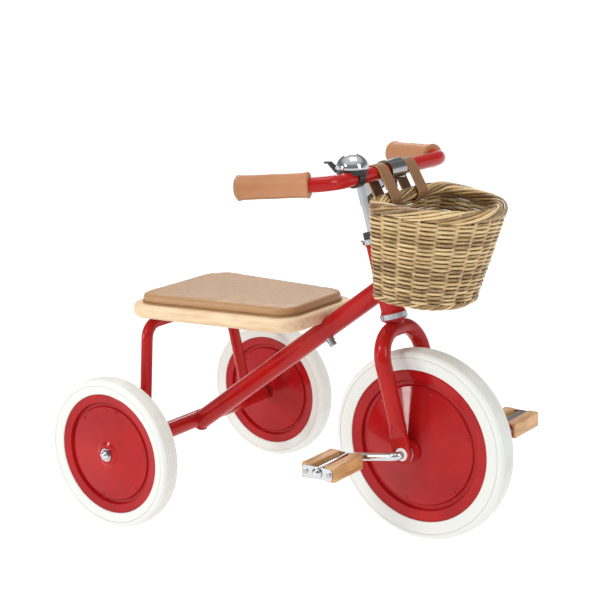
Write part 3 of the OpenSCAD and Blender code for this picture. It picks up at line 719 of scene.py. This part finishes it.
@dataclass
class Dresser:
    """Gives the CAD nodes their finishes."""

    palette: Palette
    nodes: dict
    tyre_width: dict[str, float] = field(
        default_factory=lambda: {"front_tyre": 0.02, "rear_right_tyre": 0.018, "rear_left_tyre": 0.018}
    )

    def paint(self, material: bpy.types.Material, *names: str) -> None:
        """Puts a finish on nodes.

        Args:
            material: The finish.
            *names: The nodes.
        """
        for name in names:
            thing = self.nodes[name]
            if not thing.material_slots:
                thing.data.materials.append(material)
            for slot in thing.material_slots:
                slot.material = material
        LOG.info("%s on %s", material.name, ", ".join(names))

    def tyres(self) -> None:
        """Gives each tyre its own centred foam finish."""
        for name, half in self.tyre_width.items():
            low, high = (Vector(c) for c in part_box(name))
            centre = (low + high) / 2
            self.paint(FoamTyre(f"foam_{name}", tuple(centre), (high.z - low.z) / 2, half).make(), name)

    def build(self) -> None:
        """Dresses every node."""
        p = self.palette
        self.paint(
            p.enamel, "main_tube", "head_tube", "rear_cross_tube", "seat_hoop", "seat_tabs",
            "fork", "steerer", "crown_race", "handlebar", "front_hub", "rear_right_hub", "rear_left_hub",
        )
        self.paint(p.disc, "front_disc_right", "front_disc_left", "rear_right_discs", "rear_left_discs")
        self.paint(
            p.chrome, "axle_cap_nuts", "bell_dome", "strap_studs", "crank", "pedal_end_caps",
            "pedal_right_cage", "pedal_left_cage",
        )
        self.paint(p.steel, "headset_cups", "stem")
        self.paint(
            p.zinc, "seat_screws", "seat_bolt", "seat_bolt_nuts", "rear_axle", "stem_wedge", "stem_bolt",
            "clamp_bolt", "bell_lever_pin", "drive_pin", "pedal_right_screws", "pedal_left_screws",
        )
        self.paint(
            p.black, "axle_spacers", "lock_nut", "bar_end_plugs", "bell_base", "bell_lever",
            "rear_right_bushes", "rear_left_bushes",
        )
        self.paint(p.white, "headset_bearings", "fork_bushes", "hub_core")
        self.paint(p.birch, "seat_board")
        self.paint(p.oak, "pedal_right_blocks", "pedal_left_blocks")
        self.paint(p.pad, "seat_pad")
        self.paint(p.grip, "grip_right", "grip_left")
        self.paint(p.strap, "strap_right", "strap_left")
        self.paint(p.willow, "basket")
        self.tyres()


@dataclass
class Basket:
    """The woven basket: stakes, weavers, a twisted border, a foot ring and a slatted floor."""

    palette: Palette
    back_top: float = 0.1693
    back_low: float = 0.1723
    top: float = 0.5440
    height: float = 0.149
    half_width: float = 0.113
    depth: float = 0.178
    floor_half_width: float = 0.090
    floor_depth: float = 0.117
    tilt: float = 6.5
    floor_tilt: float = 9.0
    back_share: float = 0.24
    rim: float = 0.010
    stakes: int = 22
    rows: int = 40
    weaver: float = 0.0023
    wave: float = 0.0025
    wall_middle: float = 0.0045
    lift: float = 0.0006
    stake: float = 0.0016
    border_strands: int = 9
    border_turns: float = 3.0
    border_reach: float = 0.0072
    border_strand: float = 0.0026
    core_strand: float = 0.0032
    foot_strands: int = 4
    foot_turns: float = 9.0
    foot_reach: float = 0.0030
    foot_strand: float = 0.0023
    slats: int = 25
    seed: int = 11
    dice: random.Random = field(init=False)

    def __post_init__(self) -> None:
        """Seeds the rods' tones."""
        self.dice = random.Random(self.seed)

    def ring(self, share: float, inset: float, angle: float) -> Vector:
        """A point on the basket's outline.

        Args:
            share: Height, from 0 at the floor to 1 at the border's top.
            inset: Distance in from the border's outer edge.
            angle: The angle round the basket, 0 at the front.

        Returns:
            The point.
        """

        def between(low: float, high: float) -> float:
            """A value at this share of the height."""
            return low + (high - low) * share

        depth = between(self.floor_depth, self.depth)
        half = between(self.floor_half_width, self.half_width) - inset
        c, s = math.cos(angle), math.sin(angle)
        front = c > 0
        reach = depth * (1 - self.back_share if front else self.back_share) - inset
        power = 2 / between(2.3, 2.05) if front else 2 / between(5.5, 3.0)
        x = depth * self.back_share + reach * math.copysign(abs(c) ** power, c)
        y = half * math.copysign(abs(s) ** power, s)
        floor = self.top - self.height - x * math.tan(math.radians(self.floor_tilt))
        brim = self.top - x * math.tan(math.radians(self.tilt))
        return Vector((between(self.back_low, self.back_top) + x, y, floor + (brim - floor) * share))

    def evenly(self, share: float, inset: float, count: int) -> list[Vector]:
        """Points evenly spaced round an outline, starting at the middle of the back.

        Args:
            share: The outline's share of the height.
            inset: Its inset.
            count: How many points.

        Returns:
            The points.
        """
        fine = [self.ring(share, inset, math.pi + TURN * i / 720) for i in range(721)]
        run = [0.0]
        for a, b in zip(fine, fine[1:]):
            run.append(run[-1] + (b - a).length)
        made, k = [], 0
        for i in range(count):
            want = run[-1] * i / count
            while run[k + 1] < want:
                k += 1
            part = (want - run[k]) / (run[k + 1] - run[k])
            made.append(fine[k].lerp(fine[k + 1], part))
        return made

    @staticmethod
    def outward(points: list[Vector], i: int) -> Vector:
        """The level direction out of a closed loop at one of its points.

        Args:
            points: The loop, anticlockwise from above.
            i: The point.

        Returns:
            The unit direction.
        """
        on = points[(i + 1) % len(points)] - points[i - 1]
        return Vector((on.y, -on.x, 0.0)).normalized()

    def weavers(self) -> list[Rod]:
        """The rows of rods that pass in front of one stake and behind the next."""
        made = []
        per = 8
        count = self.stakes * per
        last = 1 - 2.1 * self.rim / self.height
        for row in range(self.rows):
            share = 0.035 + (last - 0.035) * row / (self.rows - 1)
            base = self.evenly(share, self.wall_middle, count)
            points, swell = [], []
            shift = self.dice.uniform(-0.08, 0.08)
            lifts = [self.dice.uniform(-self.lift, self.lift) for _ in range(self.stakes)]
            for i in range(count):
                swing = math.cos(math.pi * (i / per + row + shift))
                over = abs(swing)
                rise = lifts[round(i / per) % self.stakes] * over
                away = math.copysign(over**0.8, swing) * self.wave
                points.append(base[i] + self.outward(base, i) * away + Vector((0, 0, rise)))
                swell.append(0.86 + 0.2 * over + 0.08 * math.sin(0.11 * i + row * 1.7))
            radius = self.weaver * self.dice.uniform(0.88, 1.1)
            made.append(Rod(points, radius, self.dice.random(), True, swell))
        return made

    def uprights(self) -> list[Rod]:
        """The stakes, in pairs of close rods."""
        made = []
        levels = [0.0, 0.15, 0.35, 0.55, 0.75, 0.9, 0.97]
        rings = [self.evenly(level, self.wall_middle, self.stakes * 24) for level in levels]
        for k in range(self.stakes):
            at = k * 24 + 12
            for side in (-1, 1):
                points = [ring[(at + side) % len(ring)] for ring in rings]
                made.append(Rod(points, self.stake, self.dice.random()))
        return made

    def twisted(self, middle: list[Vector], strands: int, turns: float, away: float, radius: float) -> list[Rod]:
        """Strands twisted round a closed line.

        Args:
            middle: The closed line.
            strands: How many strands.
            turns: Turns in one lap, in strand places, so that the lap closes.
            away: Distance of each strand from the line.
            radius: Radius of a strand.

        Returns:
            The strands.
        """
        made = []
        count = len(middle)
        for k in range(strands):
            points, swell = [], []
            for i, spot in enumerate(middle):
                angle = TURN * (k / strands + turns * i / count)
                out = self.outward(middle, i)
                off = out * math.cos(angle) + Vector((0, 0, 1)) * math.sin(angle)
                loose = 1.0 + 0.1 * math.sin(5.0 * TURN * i / count + 2.3 * k)
                points.append(spot + off * away * loose)
                swell.append(1.0 + 0.14 * math.sin(9.0 * TURN * i / count + k))
            made.append(Rod(points, radius * self.dice.uniform(0.84, 1.12), self.dice.random(), True, swell))
        return made

    def border(self) -> list[Rod]:
        """The thick twisted border and the thin rods that cross it."""
        middle = self.evenly(1 - self.rim / self.height, self.rim, 150)
        thick = self.twisted(
            middle, self.border_strands, self.border_turns, self.border_reach, self.border_strand
        )
        core = self.twisted(middle, 3, 2.0, self.core_strand, self.core_strand)
        return thick + core

    def foot(self) -> list[Rod]:
        """The twisted ring round the floor."""
        middle = self.evenly(0.02, 0.004, 150)
        return self.twisted(middle, self.foot_strands, self.foot_turns, self.foot_reach, self.foot_strand)

    def bottom(self) -> list[Rod]:
        """The floor's slats and the rods that cross them."""
        made = []
        loop = self.evenly(0.03, 0.006, 240)
        xs = [p.x for p in loop]
        low, high = min(xs), max(xs)
        for k in range(self.slats):
            x = low + (high - low) * (k + 0.5) / self.slats
            near = sorted(loop, key=lambda p: abs(p.x - x))[:8]
            reach = max(abs(p.y) for p in near)
            z = sum(p.z for p in near) / len(near)
            points = []
            for i in range(25):
                y = -reach + 2 * reach * i / 24
                points.append(Vector((x, y, z + 0.0016 * math.cos(math.pi * (i / 3 + k)))))
            made.append(Rod(points, 0.0022, self.dice.random()))
        for y in (-0.06, -0.03, 0.0, 0.03, 0.06):
            near = [p for p in loop if abs(p.y - y) < 0.004]
            a, b = min(near, key=lambda p: p.x), max(near, key=lambda p: p.x)
            made.append(Rod([a.lerp(b, i / 6) for i in range(7)], 0.0024, self.dice.random()))
        return made

    def build(self) -> None:
        """Builds the basket and hangs it on the handlebar's body."""
        groups = {
            "basket_weave": self.weavers(),
            "basket_stakes": self.uprights(),
            "basket_border": self.border(),
            "basket_foot": self.foot(),
            "basket_floor": self.bottom(),
        }
        for name, rods in groups.items():
            piece = Bench.show(name, Bench.rods(name, rods, 8 if name == "basket_border" else 6), self.palette.willow)
            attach(piece, Body.BAR.value)
            if name == "basket_weave":
                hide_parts("basket")
            LOG.info("%s: %d rods", name, len(rods))


@dataclass
class Straps:
    """The two leather straps that hang the basket from the handlebar."""

    palette: Palette
    bar: tuple[float, float] = (0.15982, 0.56998)
    rim: tuple[float, float] = (0.17982, 0.53284)
    bar_radius: float = 0.0117
    rim_radius: float = 0.0116
    thickness: float = 0.0022
    width: float = 0.026
    away: float = 0.038

    def loop(self, extra: float, steps: int = 22) -> list[tuple[float, float]]:
        """The strap's path round the handlebar and the border.

        Args:
            extra: Distance out from the inner face.
            steps: Segments to each turn.

        Returns:
            The closed path as (forward, up).
        """
        way = math.atan2(self.rim[1] - self.bar[1], self.rim[0] - self.bar[0])
        made = []
        for centre, radius, start in (
            (self.rim, self.rim_radius, way - math.pi / 2),
            (self.bar, self.bar_radius, way + math.pi / 2),
        ):
            for i in range(steps + 1):
                angle = start + math.pi * i / steps
                made.append((
                    centre[0] + (radius + extra) * math.cos(angle),
                    centre[1] + (radius + extra) * math.sin(angle),
                ))
        return made

    def strap(self, name: str, side: int) -> bpy.types.Object:
        """One strap.

        Args:
            name: The piece's name.
            side: 1 for the rider's left, -1 for the right.

        Returns:
            The piece.
        """
        bm = bmesh.new()
        outer = self.loop(self.thickness)
        count = len(outer)
        rows = []
        across = 7
        for j in range(across):
            y = side * self.away + self.width * (j / (across - 1) - 0.5)
            loop = [bm.verts.new((x, y, z)) for x, z in outer]
            rows.append([bm.edges.new((loop[i], loop[(i + 1) % count])) for i in range(count)])
        for first, second in zip(rows, rows[1:]):
            bmesh.ops.bridge_loops(bm, edges=first + second)
        bmesh.ops.recalc_face_normals(bm, faces=bm.faces)
        bmesh.ops.solidify(bm, geom=bm.faces[:], thickness=self.thickness)
        edges = [e for e in bm.edges if e.calc_face_angle(0.0) > 1.2]
        bmesh.ops.bevel(bm, geom=edges, offset=0.0005, affect="EDGES", segments=2, profile=0.5, material=-1)
        cut = bm.verts.layers.float.new("edge")
        low, high = side * self.away - self.width / 2, side * self.away + self.width / 2
        for vert in bm.verts:
            near = min(abs(vert.co.y - low), abs(vert.co.y - high))
            vert[cut] = 1.0 if near < 0.0004 else 0.0
        LOG.info("%s: loop of %d points", name, count)
        return Bench.show(name, Bench.mesh(name, bm), self.palette.strap, 40)

    def build(self) -> None:
        """Builds both straps."""
        for name, node, side in (("strap_leather_right", "strap_right", -1), ("strap_leather_left", "strap_left", 1)):
            piece = self.strap(name, side)
            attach(piece, Body.BAR.value)
            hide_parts(node)


@dataclass
class Grips:
    """Stitched leather grips with rolled ends."""

    palette: Palette
    bar: tuple[float, float] = (0.15982, 0.56998)
    corner_y: float = 0.158
    sweep: float = 0.127
    spread: float = 0.052
    fall: float = 0.006
    length: float = 0.106
    radius: float = 0.0175
    flare: float = 0.0016
    bore: float = 0.01115
    stitches: int = 30

    def line(self, side: int) -> tuple[Vector, Vector]:
        """The grip's outer end and the direction inwards.

        Args:
            side: 1 for the rider's left, -1 for the right.

        Returns:
            The start point and the unit direction.
        """
        corner = Vector((self.bar[0], side * self.corner_y, self.bar[1]))
        end = corner + Vector((-self.sweep, side * self.spread, -self.fall))
        return end, (corner - end).normalized()

    def profile(self) -> list[tuple[float, float]]:
        """The sleeve's section as (radius, distance from the outer end)."""
        big = self.radius + self.flare
        half = [(self.bore, 0.0), (big - 0.0012, 0.0), (big - 0.0003, 0.0008), (big, 0.0022), (big - 0.0004, 0.0038),
                (self.radius + 0.0006, 0.0055), (self.radius + 0.0003, 0.0105), (self.radius, 0.02),
                (self.radius + 0.0002, 0.04)]
        mirror = [(r, self.length - z) for r, z in reversed(half)]
        return half + [(self.radius + 0.0004, self.length / 2)] + mirror

    def sleeve(self, name: str, side: int) -> bpy.types.Object:
        """One grip's leather sleeve.

        Args:
            name: The piece's name.
            side: 1 for the rider's left, -1 for the right.

        Returns:
            The piece.
        """
        bm = bmesh.new()
        spots = [bm.verts.new((r, 0.0, z)) for r, z in self.profile()]
        edges = [bm.edges.new(pair) for pair in zip(spots, spots[1:] + spots[:1])]
        bmesh.ops.spin(
            bm, geom=spots + edges, cent=(0, 0, 0), axis=(0, 0, 1), angle=TURN, steps=64, use_merge=True
        )
        for vert in bm.verts:
            angle = math.atan2(vert.co.y, vert.co.x)
            if vert.co.xy.length > self.bore + 0.002:
                pull = 0.0007 * math.exp(-((angle / 0.10) ** 2))
                wrinkle = 0.00018 * math.sin(6 * angle + 90 * vert.co.z) * math.sin(170 * vert.co.z + 2 * angle)
                vert.co.xy *= 1 + (wrinkle - pull) / vert.co.xy.length
        start, way = self.line(side)
        bmesh.ops.transform(bm, matrix=in_line(start, way) @ self.roll(side), verts=bm.verts)
        return Bench.show(name, Bench.mesh(name, bm), self.palette.grip, 50)

    @staticmethod
    def roll(side: int) -> Matrix:
        """Turns the seam to the inner lower side."""
        return Matrix.Rotation(math.radians(-60 if side > 0 else -120), 4, "Z")

    def seam(self, name: str, side: int) -> bpy.types.Object:
        """The stitches across one grip's seam.

        Args:
            name: The piece's name.
            side: 1 for the rider's left, -1 for the right.

        Returns:
            The piece.
        """
        start, way = self.line(side)
        place = in_line(start, way) @ self.roll(side)
        rods = []
        for k in range(self.stitches):
            z = 0.006 + (self.length - 0.012) * k / (self.stitches - 1)
            arc = []
            for i in range(5):
                angle = 0.17 * (i / 2 - 1)
                out = self.radius + (0.0001 if i in (0, 4) else 0.0006) - 0.0002
                arc.append(place @ Vector((out * math.cos(angle), out * math.sin(angle), z + 0.0007 * (i - 2) / 2)))
            rods.append(Rod(arc, 0.00042))
        return Bench.show(name, Bench.rods(name, rods, 4), self.palette.thread)

    def build(self) -> None:
        """Builds both grips."""
        for word, node, side in (("right", "grip_right", -1), ("left", "grip_left", 1)):
            sleeve = self.sleeve(f"grip_leather_{word}", side)
            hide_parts(node)
            seam = self.seam(f"grip_stitches_{word}", side)
            for piece in (sleeve, seam):
                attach(piece, Body.BAR.value)
            LOG.info("grip %s with %d stitches", word, self.stitches)


@dataclass
class Seat:
    """The beech board and its padded leather top."""

    palette: Palette
    rear: float = -0.2841
    front: float = 0.0349
    rear_half: float = 0.124
    front_half: float = 0.095
    corner: float = 0.040
    board_low: float = 0.320
    board_top: float = 0.342
    pad_top: float = 0.358
    margin: float = 0.0125
    voxel: float = 0.0035
    cap: float = 0.0012
    steps: int = 20

    def shape(self, inset: float, corner: float) -> list[tuple[float, float]]:
        """The seat's outline, set in all round."""
        return rounded(
            [
                (self.rear + inset, -self.rear_half + inset),
                (self.front - inset, -self.front_half + inset),
                (self.front - inset, self.front_half - inset),
                (self.rear + inset, self.rear_half - inset),
            ],
            corner - inset,
            12,
        )

    def board(self) -> bpy.types.Object:
        """The board, with softly rounded edges."""
        bm = bmesh.new()
        face = Bench.outline(bm, [(x, y, self.board_low) for x, y in self.shape(0.0, self.corner)])
        Bench.raised(face, bm, (0, 0, self.board_top - self.board_low))
        bmesh.ops.recalc_face_normals(bm, faces=bm.faces)
        edges = [e for e in bm.edges if e.calc_face_angle(0.0) > 1.0]
        bmesh.ops.bevel(bm, geom=edges, offset=0.0062, affect="EDGES", segments=6, profile=0.5, material=-1)
        return Bench.show("seat_board_wood", Bench.mesh("seat_board_wood", bm), self.palette.birch, 35)

    def block(self) -> bpy.types.Mesh:
        """The pad before it swells."""
        bm = bmesh.new()
        low = self.board_top + 0.0006
        face = Bench.outline(bm, [(x, y, low) for x, y in self.shape(self.margin - 0.0003, self.corner + 0.008)])
        Bench.raised(face, bm, (0, 0, self.pad_top - low - 0.0006))
        bmesh.ops.recalc_face_normals(bm, faces=bm.faces)
        edges = [e for e in bm.edges if e.calc_face_angle(0.0) > 1.0]
        bmesh.ops.bevel(bm, geom=edges, offset=0.0028, affect="EDGES", segments=4, profile=0.5, material=-1)
        return Bench.mesh("seat_pad_leather", bm)

    def swell(self, piece: bpy.types.Object) -> None:
        """Fills the pad: remeshes it, blows it up as cloth and keeps the movement small.

        Args:
            piece: The pad.
        """
        scene = bpy.context.scene
        remesh = piece.modifiers.new("even", "REMESH")
        remesh.mode = "VOXEL"
        remesh.voxel_size = self.voxel
        even = bpy.data.meshes.new_from_object(piece.evaluated_get(bpy.context.evaluated_depsgraph_get()))
        piece.modifiers.clear()
        piece.data = even
        rest = [v.co.copy() for v in even.vertices]
        held = piece.vertex_groups.new(name="held")
        held.add([v.index for v in even.vertices if v.co.z < self.board_top + 0.002], 1.0, "REPLACE")
        cloth = piece.modifiers.new("fill", "CLOTH")
        cloth.settings.vertex_group_mass = "held"
        cloth.settings.use_pressure = True
        cloth.settings.uniform_pressure_force = 4.0
        cloth.settings.tension_stiffness = 40
        cloth.settings.compression_stiffness = 40
        cloth.settings.bending_stiffness = 6
        cloth.settings.effector_weights.gravity = 0.0
        cloth.point_cache.frame_start = 1
        cloth.point_cache.frame_end = self.steps
        for frame in range(1, self.steps + 1):
            scene.frame_set(frame)
        full = bpy.data.meshes.new_from_object(piece.evaluated_get(bpy.context.evaluated_depsgraph_get()))
        piece.modifiers.clear()
        scene.frame_set(1)
        for vert, start in zip(full.vertices, rest):
            move = vert.co - start
            if move.length > self.cap:
                move *= self.cap / move.length
            spot = start + move
            spot.z = min(max(spot.z, self.board_top + 0.0003), self.pad_top + 0.001)
            vert.co = spot
        piece.data = full
        piece.vertex_groups.clear()
        bm = bmesh.new()
        bm.from_mesh(full)
        for _ in range(4):
            bmesh.ops.smooth_vert(bm, verts=bm.verts, factor=0.5, use_axis_x=True, use_axis_y=True, use_axis_z=True)
        bm.to_mesh(full)
        bm.free()

    def crown(self, mesh: bpy.types.Mesh) -> None:
        """Gives the pad its low crown, highest along the middle.

        Args:
            mesh: The pad's mesh.
        """
        for vert in mesh.vertices:
            along = (vert.co.x - self.rear) / (self.front - self.rear)
            half = (self.rear_half + (self.front_half - self.rear_half) * along) - self.margin
            out = min(1.0, max(abs(vert.co.y) / half, abs(2 * along - 1) / 0.93))
            up = (vert.co.z - self.board_top) / (self.pad_top - self.board_top)
            vert.co.z -= 0.0012 * max(0.0, up) * out**6

    def pad(self) -> bpy.types.Object:
        """The padded top."""
        piece = Bench.show("seat_pad_leather", self.block(), self.palette.pad)
        self.swell(piece)
        self.crown(piece.data)
        piece.data.materials.clear()
        piece.data.materials.append(self.palette.pad)
        piece.data.shade_smooth()
        smooth = piece.modifiers.new("smooth", "SUBSURF")
        smooth.levels = smooth.render_levels = 1
        return piece

    def piping(self) -> bpy.types.Object:
        """The welt where the pad's top and side panels meet."""
        loop = self.shape(self.margin - 0.0002, self.corner + 0.008)
        middle = [Vector((x, y, self.board_top + 0.0015)) for x, y in loop]
        rods = [Rod(middle, 0.0009, 0.5, True)]
        return Bench.show("seat_pad_welt", Bench.rods("seat_pad_welt", rods, 8), self.palette.pad)

    def build(self) -> None:
        """Builds the seat's pieces."""
        board, pad, welt = self.board(), self.pad(), self.piping()
        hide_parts("seat_board")
        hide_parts("seat_pad")
        for piece, slot in ((board, "birch"), (pad, "tan_leather"), (welt, "tan_leather")):
            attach(piece, Body.FRAME.value)
        LOG.info("seat board, pad and welt")


@dataclass
class PedalBlocks:
    """The oak blocks of the pedals, grooved across the foot faces."""

    palette: Palette
    width: float = 0.0185
    bevel: float = 0.0022
    grooves: int = 4
    groove_half: float = 0.0011
    groove_depth: float = 0.0012

    def block(self, bm: bmesh.types.BMesh, low: Vector, high: Vector) -> None:
        """Adds one block.

        Args:
            bm: The bmesh.
            low: Its lowest corner.
            high: Its highest corner.
        """
        size = high - low
        made = bmesh.ops.create_cube(bm, size=1.0)
        verts = made["verts"]
        bmesh.ops.scale(bm, vec=size, verts=verts)
        bmesh.ops.translate(bm, vec=(low + high) / 2, verts=verts)
        edges = list({e for v in verts for e in v.link_edges})
        bmesh.ops.bevel(bm, geom=edges, offset=self.bevel, affect="EDGES", segments=3, profile=0.5, material=-1)

    def build_side(self, name: str, node: str, body: Body) -> None:
        """Builds one pedal's pair of blocks.

        Args:
            name: The piece's name.
            node: The CAD node that it stands for.
            body: The body that it rides on.
        """
        low, high = (Vector(c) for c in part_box(node))
        bm = bmesh.new()
        self.block(bm, low, Vector((low.x + self.width, high.y, high.z)))
        self.block(bm, Vector((high.x - self.width, low.y, low.z)), high)
        lines = [low.y + (high.y - low.y) * (k + 1) / (self.grooves + 1) for k in range(self.grooves)]
        for k in range(self.grooves):
            for step in (-self.groove_half, self.groove_half):
                bmesh.ops.bisect_plane(
                    bm,
                    geom=bm.verts[:] + bm.edges[:] + bm.faces[:],
                    plane_co=(0, lines[k] + step, 0),
                    plane_no=(0, 1, 0),
                )
        strips = [
            f for f in bm.faces
            if abs(f.normal.z) > 0.9 and any(abs(f.calc_center_median().y - y) < 0.0005 for y in lines)
        ]
        verts = {v for f in strips for v in f.verts}
        middle = (low.z + high.z) / 2
        for vert in verts:
            vert.co.z += self.groove_depth if vert.co.z < middle else -self.groove_depth
        piece = Bench.show(name, Bench.mesh(name, bm), self.palette.oak, 30)
        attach(piece, body.value)
        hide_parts(node)
        LOG.info("%s with %d grooves", name, self.grooves)

    def build(self) -> None:
        """Builds both pedals' blocks."""
        self.build_side("pedal_oak_right", "pedal_right_blocks", Body.PEDAL_RIGHT)
        self.build_side("pedal_oak_left", "pedal_left_blocks", Body.PEDAL_LEFT)


@dataclass
class Welds:
    """Beads where the tubes meet, painted over."""

    palette: Palette
    head_tilt: float = 14.0
    front: Vector = field(default_factory=lambda: Vector((0.2094, 0.0, 0.150)))
    rear: Vector = field(default_factory=lambda: Vector((-0.2371, 0.0, 0.1223)))
    main_low: Vector = field(default_factory=lambda: Vector((-0.2371, 0.0, 0.1153)))
    main_up: float = 0.250
    main_radius: float = 0.0159
    head_radius: float = 0.018
    cross_radius: float = 0.014
    hoop_radius: float = 0.0095
    fork_radius: float = 0.0127
    crown_up: float = 0.183
    bead: float = 0.0015

    def hug(self, start: Vector, way: Vector, radius: float, centre: Vector, axis: Vector, target: float) -> Rod:
        """The bead round a tube where it meets another.

        Args:
            start: A point on the first tube's axis, outside the second.
            way: The first tube's direction, towards the second.
            radius: The first tube's radius.
            centre: A point on the second tube's axis.
            axis: The second tube's direction.
            target: The second tube's radius.

        Returns:
            The bead.
        """
        way, axis = way.normalized(), axis.normalized()
        one = way.orthogonal().normalized()
        two = way.cross(one)
        points, swell = [], []
        for i in range(72):
            angle = TURN * i / 72
            base = start + (one * math.cos(angle) + two * math.sin(angle)) * radius
            p = base - centre
            p -= axis * p.dot(axis)
            d = way - axis * way.dot(axis)
            a, b, c = d.dot(d), 2 * p.dot(d), p.dot(p) - target**2
            root = b * b - 4 * a * c
            t = (-b - math.sqrt(max(root, 0.0))) / (2 * a)
            points.append(base + way * t)
            swell.append(1.0 + 0.16 * math.sin(24 * angle))
        return Rod(points, self.bead, 0.5, True, swell)

    def build(self) -> None:
        """Builds the beads of the frame and of the fork."""
        tilt = math.radians(self.head_tilt)
        axis = Vector((-math.sin(tilt), 0.0, math.cos(tilt)))
        sideways = Vector((0.0, 1.0, 0.0))
        high = self.front + axis * self.main_up
        beads = [
            self.hug(self.main_low.lerp(high, 0.5), high - self.main_low, self.main_radius, self.front, axis,
                     self.head_radius),
            self.hug(self.main_low.lerp(high, 0.5), self.main_low - high, self.main_radius, self.rear, sideways,
                     self.cross_radius),
        ]
        for side in (-1, 1):
            foot = Vector((self.rear.x, side * 0.138, self.rear.z))
            top = Vector((self.rear.x - 0.011, side * 0.105, 0.3075))
            beads.append(self.hug(top, foot - top, self.hoop_radius, self.rear, sideways, self.cross_radius))
        crown = self.front + axis * self.crown_up
        fork_bead = [self.hug(crown + axis * 0.05, -axis, self.fork_radius * 0.999, crown, sideways,
                              self.fork_radius)]
        for name, rods, body in (("frame_welds", beads, Body.FRAME), ("fork_weld", fork_bead, Body.STEERING)):
            piece = Bench.show(name, Bench.rods(name, rods, 6), self.palette.enamel)
            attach(piece, body.value)
            LOG.info("%s: %d beads", name, len(rods))


# ---------------------------------------------------------------- studio


@dataclass
class Studio:
    """A pale floor, soft light and the camera."""

    spot: tuple[float, float, float] = (1.4067, -1.9530, 0.8952)
    yaw: float = -0.6295132
    pitch: float = -0.2212634
    roll: float = -0.031046
    focal: float = 1558.127
    side: int = 600
    sensor: float = 36.0

    def camera(self) -> None:
        """Sets the camera."""
        data = bpy.data.cameras.new("camera")
        data.sensor_width = self.sensor
        data.lens = self.focal / self.side * self.sensor
        data.clip_end = 60.0
        look = Vector((
            math.sin(self.yaw) * math.cos(self.pitch), math.cos(self.yaw) * math.cos(self.pitch), math.sin(self.pitch)
        ))
        level = look.cross(Vector((0, 0, 1))).normalized()
        up = level.cross(look)
        right = level * math.cos(self.roll) + up * math.sin(self.roll)
        top = up * math.cos(self.roll) - level * math.sin(self.roll)
        turn = Matrix((right, top, -look)).transposed().to_4x4()
        camera = bpy.data.objects.new("camera", data)
        camera.matrix_world = Matrix.Translation(self.spot) @ turn
        bpy.context.scene.collection.objects.link(camera)
        bpy.context.scene.camera = camera

    def floor(self) -> None:
        """Lays the floor."""
        bm = bmesh.new()
        bmesh.ops.create_grid(bm, x_segments=1, y_segments=1, size=30.0)
        mesh = Bench.mesh("floor", bm)
        r = Recipe("floor")
        drift = r.noise(r.place(), 3.0, 2.0)
        tint = r.mix(drift, (0.40, 0.40, 0.40), (0.38, 0.38, 0.38))
        material = r.wear(
            Base_Color=tint, Roughness=0.9, Emission_Color=(1.0, 1.0, 1.0), Emission_Strength=0.86,
            Specular_IOR_Level=0.1,
        )
        piece = Bench.show("floor", mesh, material)
        piece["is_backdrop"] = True

    def lamp(self, name: str, spot: Sequence[float], size: tuple[float, float], watts: float) -> None:
        """Hangs one soft lamp that points at the tricycle.

        Args:
            name: The lamp's name.
            spot: Where it hangs.
            size: Its width and height.
            watts: Its power.
        """
        data = bpy.data.lights.new(name, "AREA")
        data.shape = "RECTANGLE"
        data.size, data.size_y = size
        data.energy = watts
        lamp = bpy.data.objects.new(name, data)
        lamp.matrix_world = in_line(Vector(spot), Vector(spot) - Vector((0, 0, 0.25)))
        bpy.context.scene.collection.objects.link(lamp)

    def sky(self) -> None:
        """Sets the even room light: bright at the horizon, dimmer higher up."""
        world = bpy.data.worlds.new("room")
        world.use_nodes = True
        bpy.context.scene.world = world
        tree = world.node_tree
        back = tree.nodes["Background"]
        where = tree.nodes.new("ShaderNodeTexCoord")
        parts = tree.nodes.new("ShaderNodeSeparateXYZ")
        ramp = tree.nodes.new("ShaderNodeValToRGB")
        tree.links.new(where.outputs["Generated"], parts.inputs[0])
        tree.links.new(parts.outputs[2], ramp.inputs[0])
        tree.links.new(ramp.outputs[0], back.inputs[0])
        stops = ((0.0, 1.0), (0.10, 1.0), (0.2, 0.28), (0.5, 0.22), (0.72, 0.7), (1.0, 1.0))
        points = ramp.color_ramp.elements
        while len(points) < len(stops):
            points.new(0.5)
        for point, (at, level) in zip(points, stops):
            point.position = at
            point.color = (level, level, level, 1.0)
        back.inputs[1].default_value = 1.0

    def build(self) -> None:
        """Builds the studio."""
        self.camera()
        self.floor()
        self.sky()
        self.lamp("key", (-0.7, -2.3, 2.3), (0.8, 0.6), 24.0)
        self.lamp("low", (-1.5, -2.1, 0.95), (0.3, 0.7), 15.0)
        self.lamp("side", (2.5, -0.2, 1.7), (0.7, 1.1), 16.0)
        self.lamp("back", (-1.6, 2.2, 2.0), (1.2, 0.8), 16.0)
        self.lamp("top", (0.2, 0.2, 2.8), (1.2, 1.2), 14.0)
        view = bpy.context.scene.view_settings
        view.view_transform = "Standard"
        view.look = "None"
        LOG.info("studio ready")


def corners() -> list[list[float]]:
    """The shown object's box as plain lists."""
    low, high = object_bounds()
    return [[float(v) for v in low], [float(v) for v in high]]


def main() -> None:
    """Builds the tricycle's looks."""
    logging.basicConfig(level=logging.INFO, format="%(name)s: %(message)s")
    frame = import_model()
    palette = Palette()
    Dresser(palette, frame["nodes"]).build()
    for assembly in (Basket, Straps, Grips, Seat, PedalBlocks, Welds):
        assembly(palette).build()
    Studio().build()


if __name__ == "__main__":
    main()
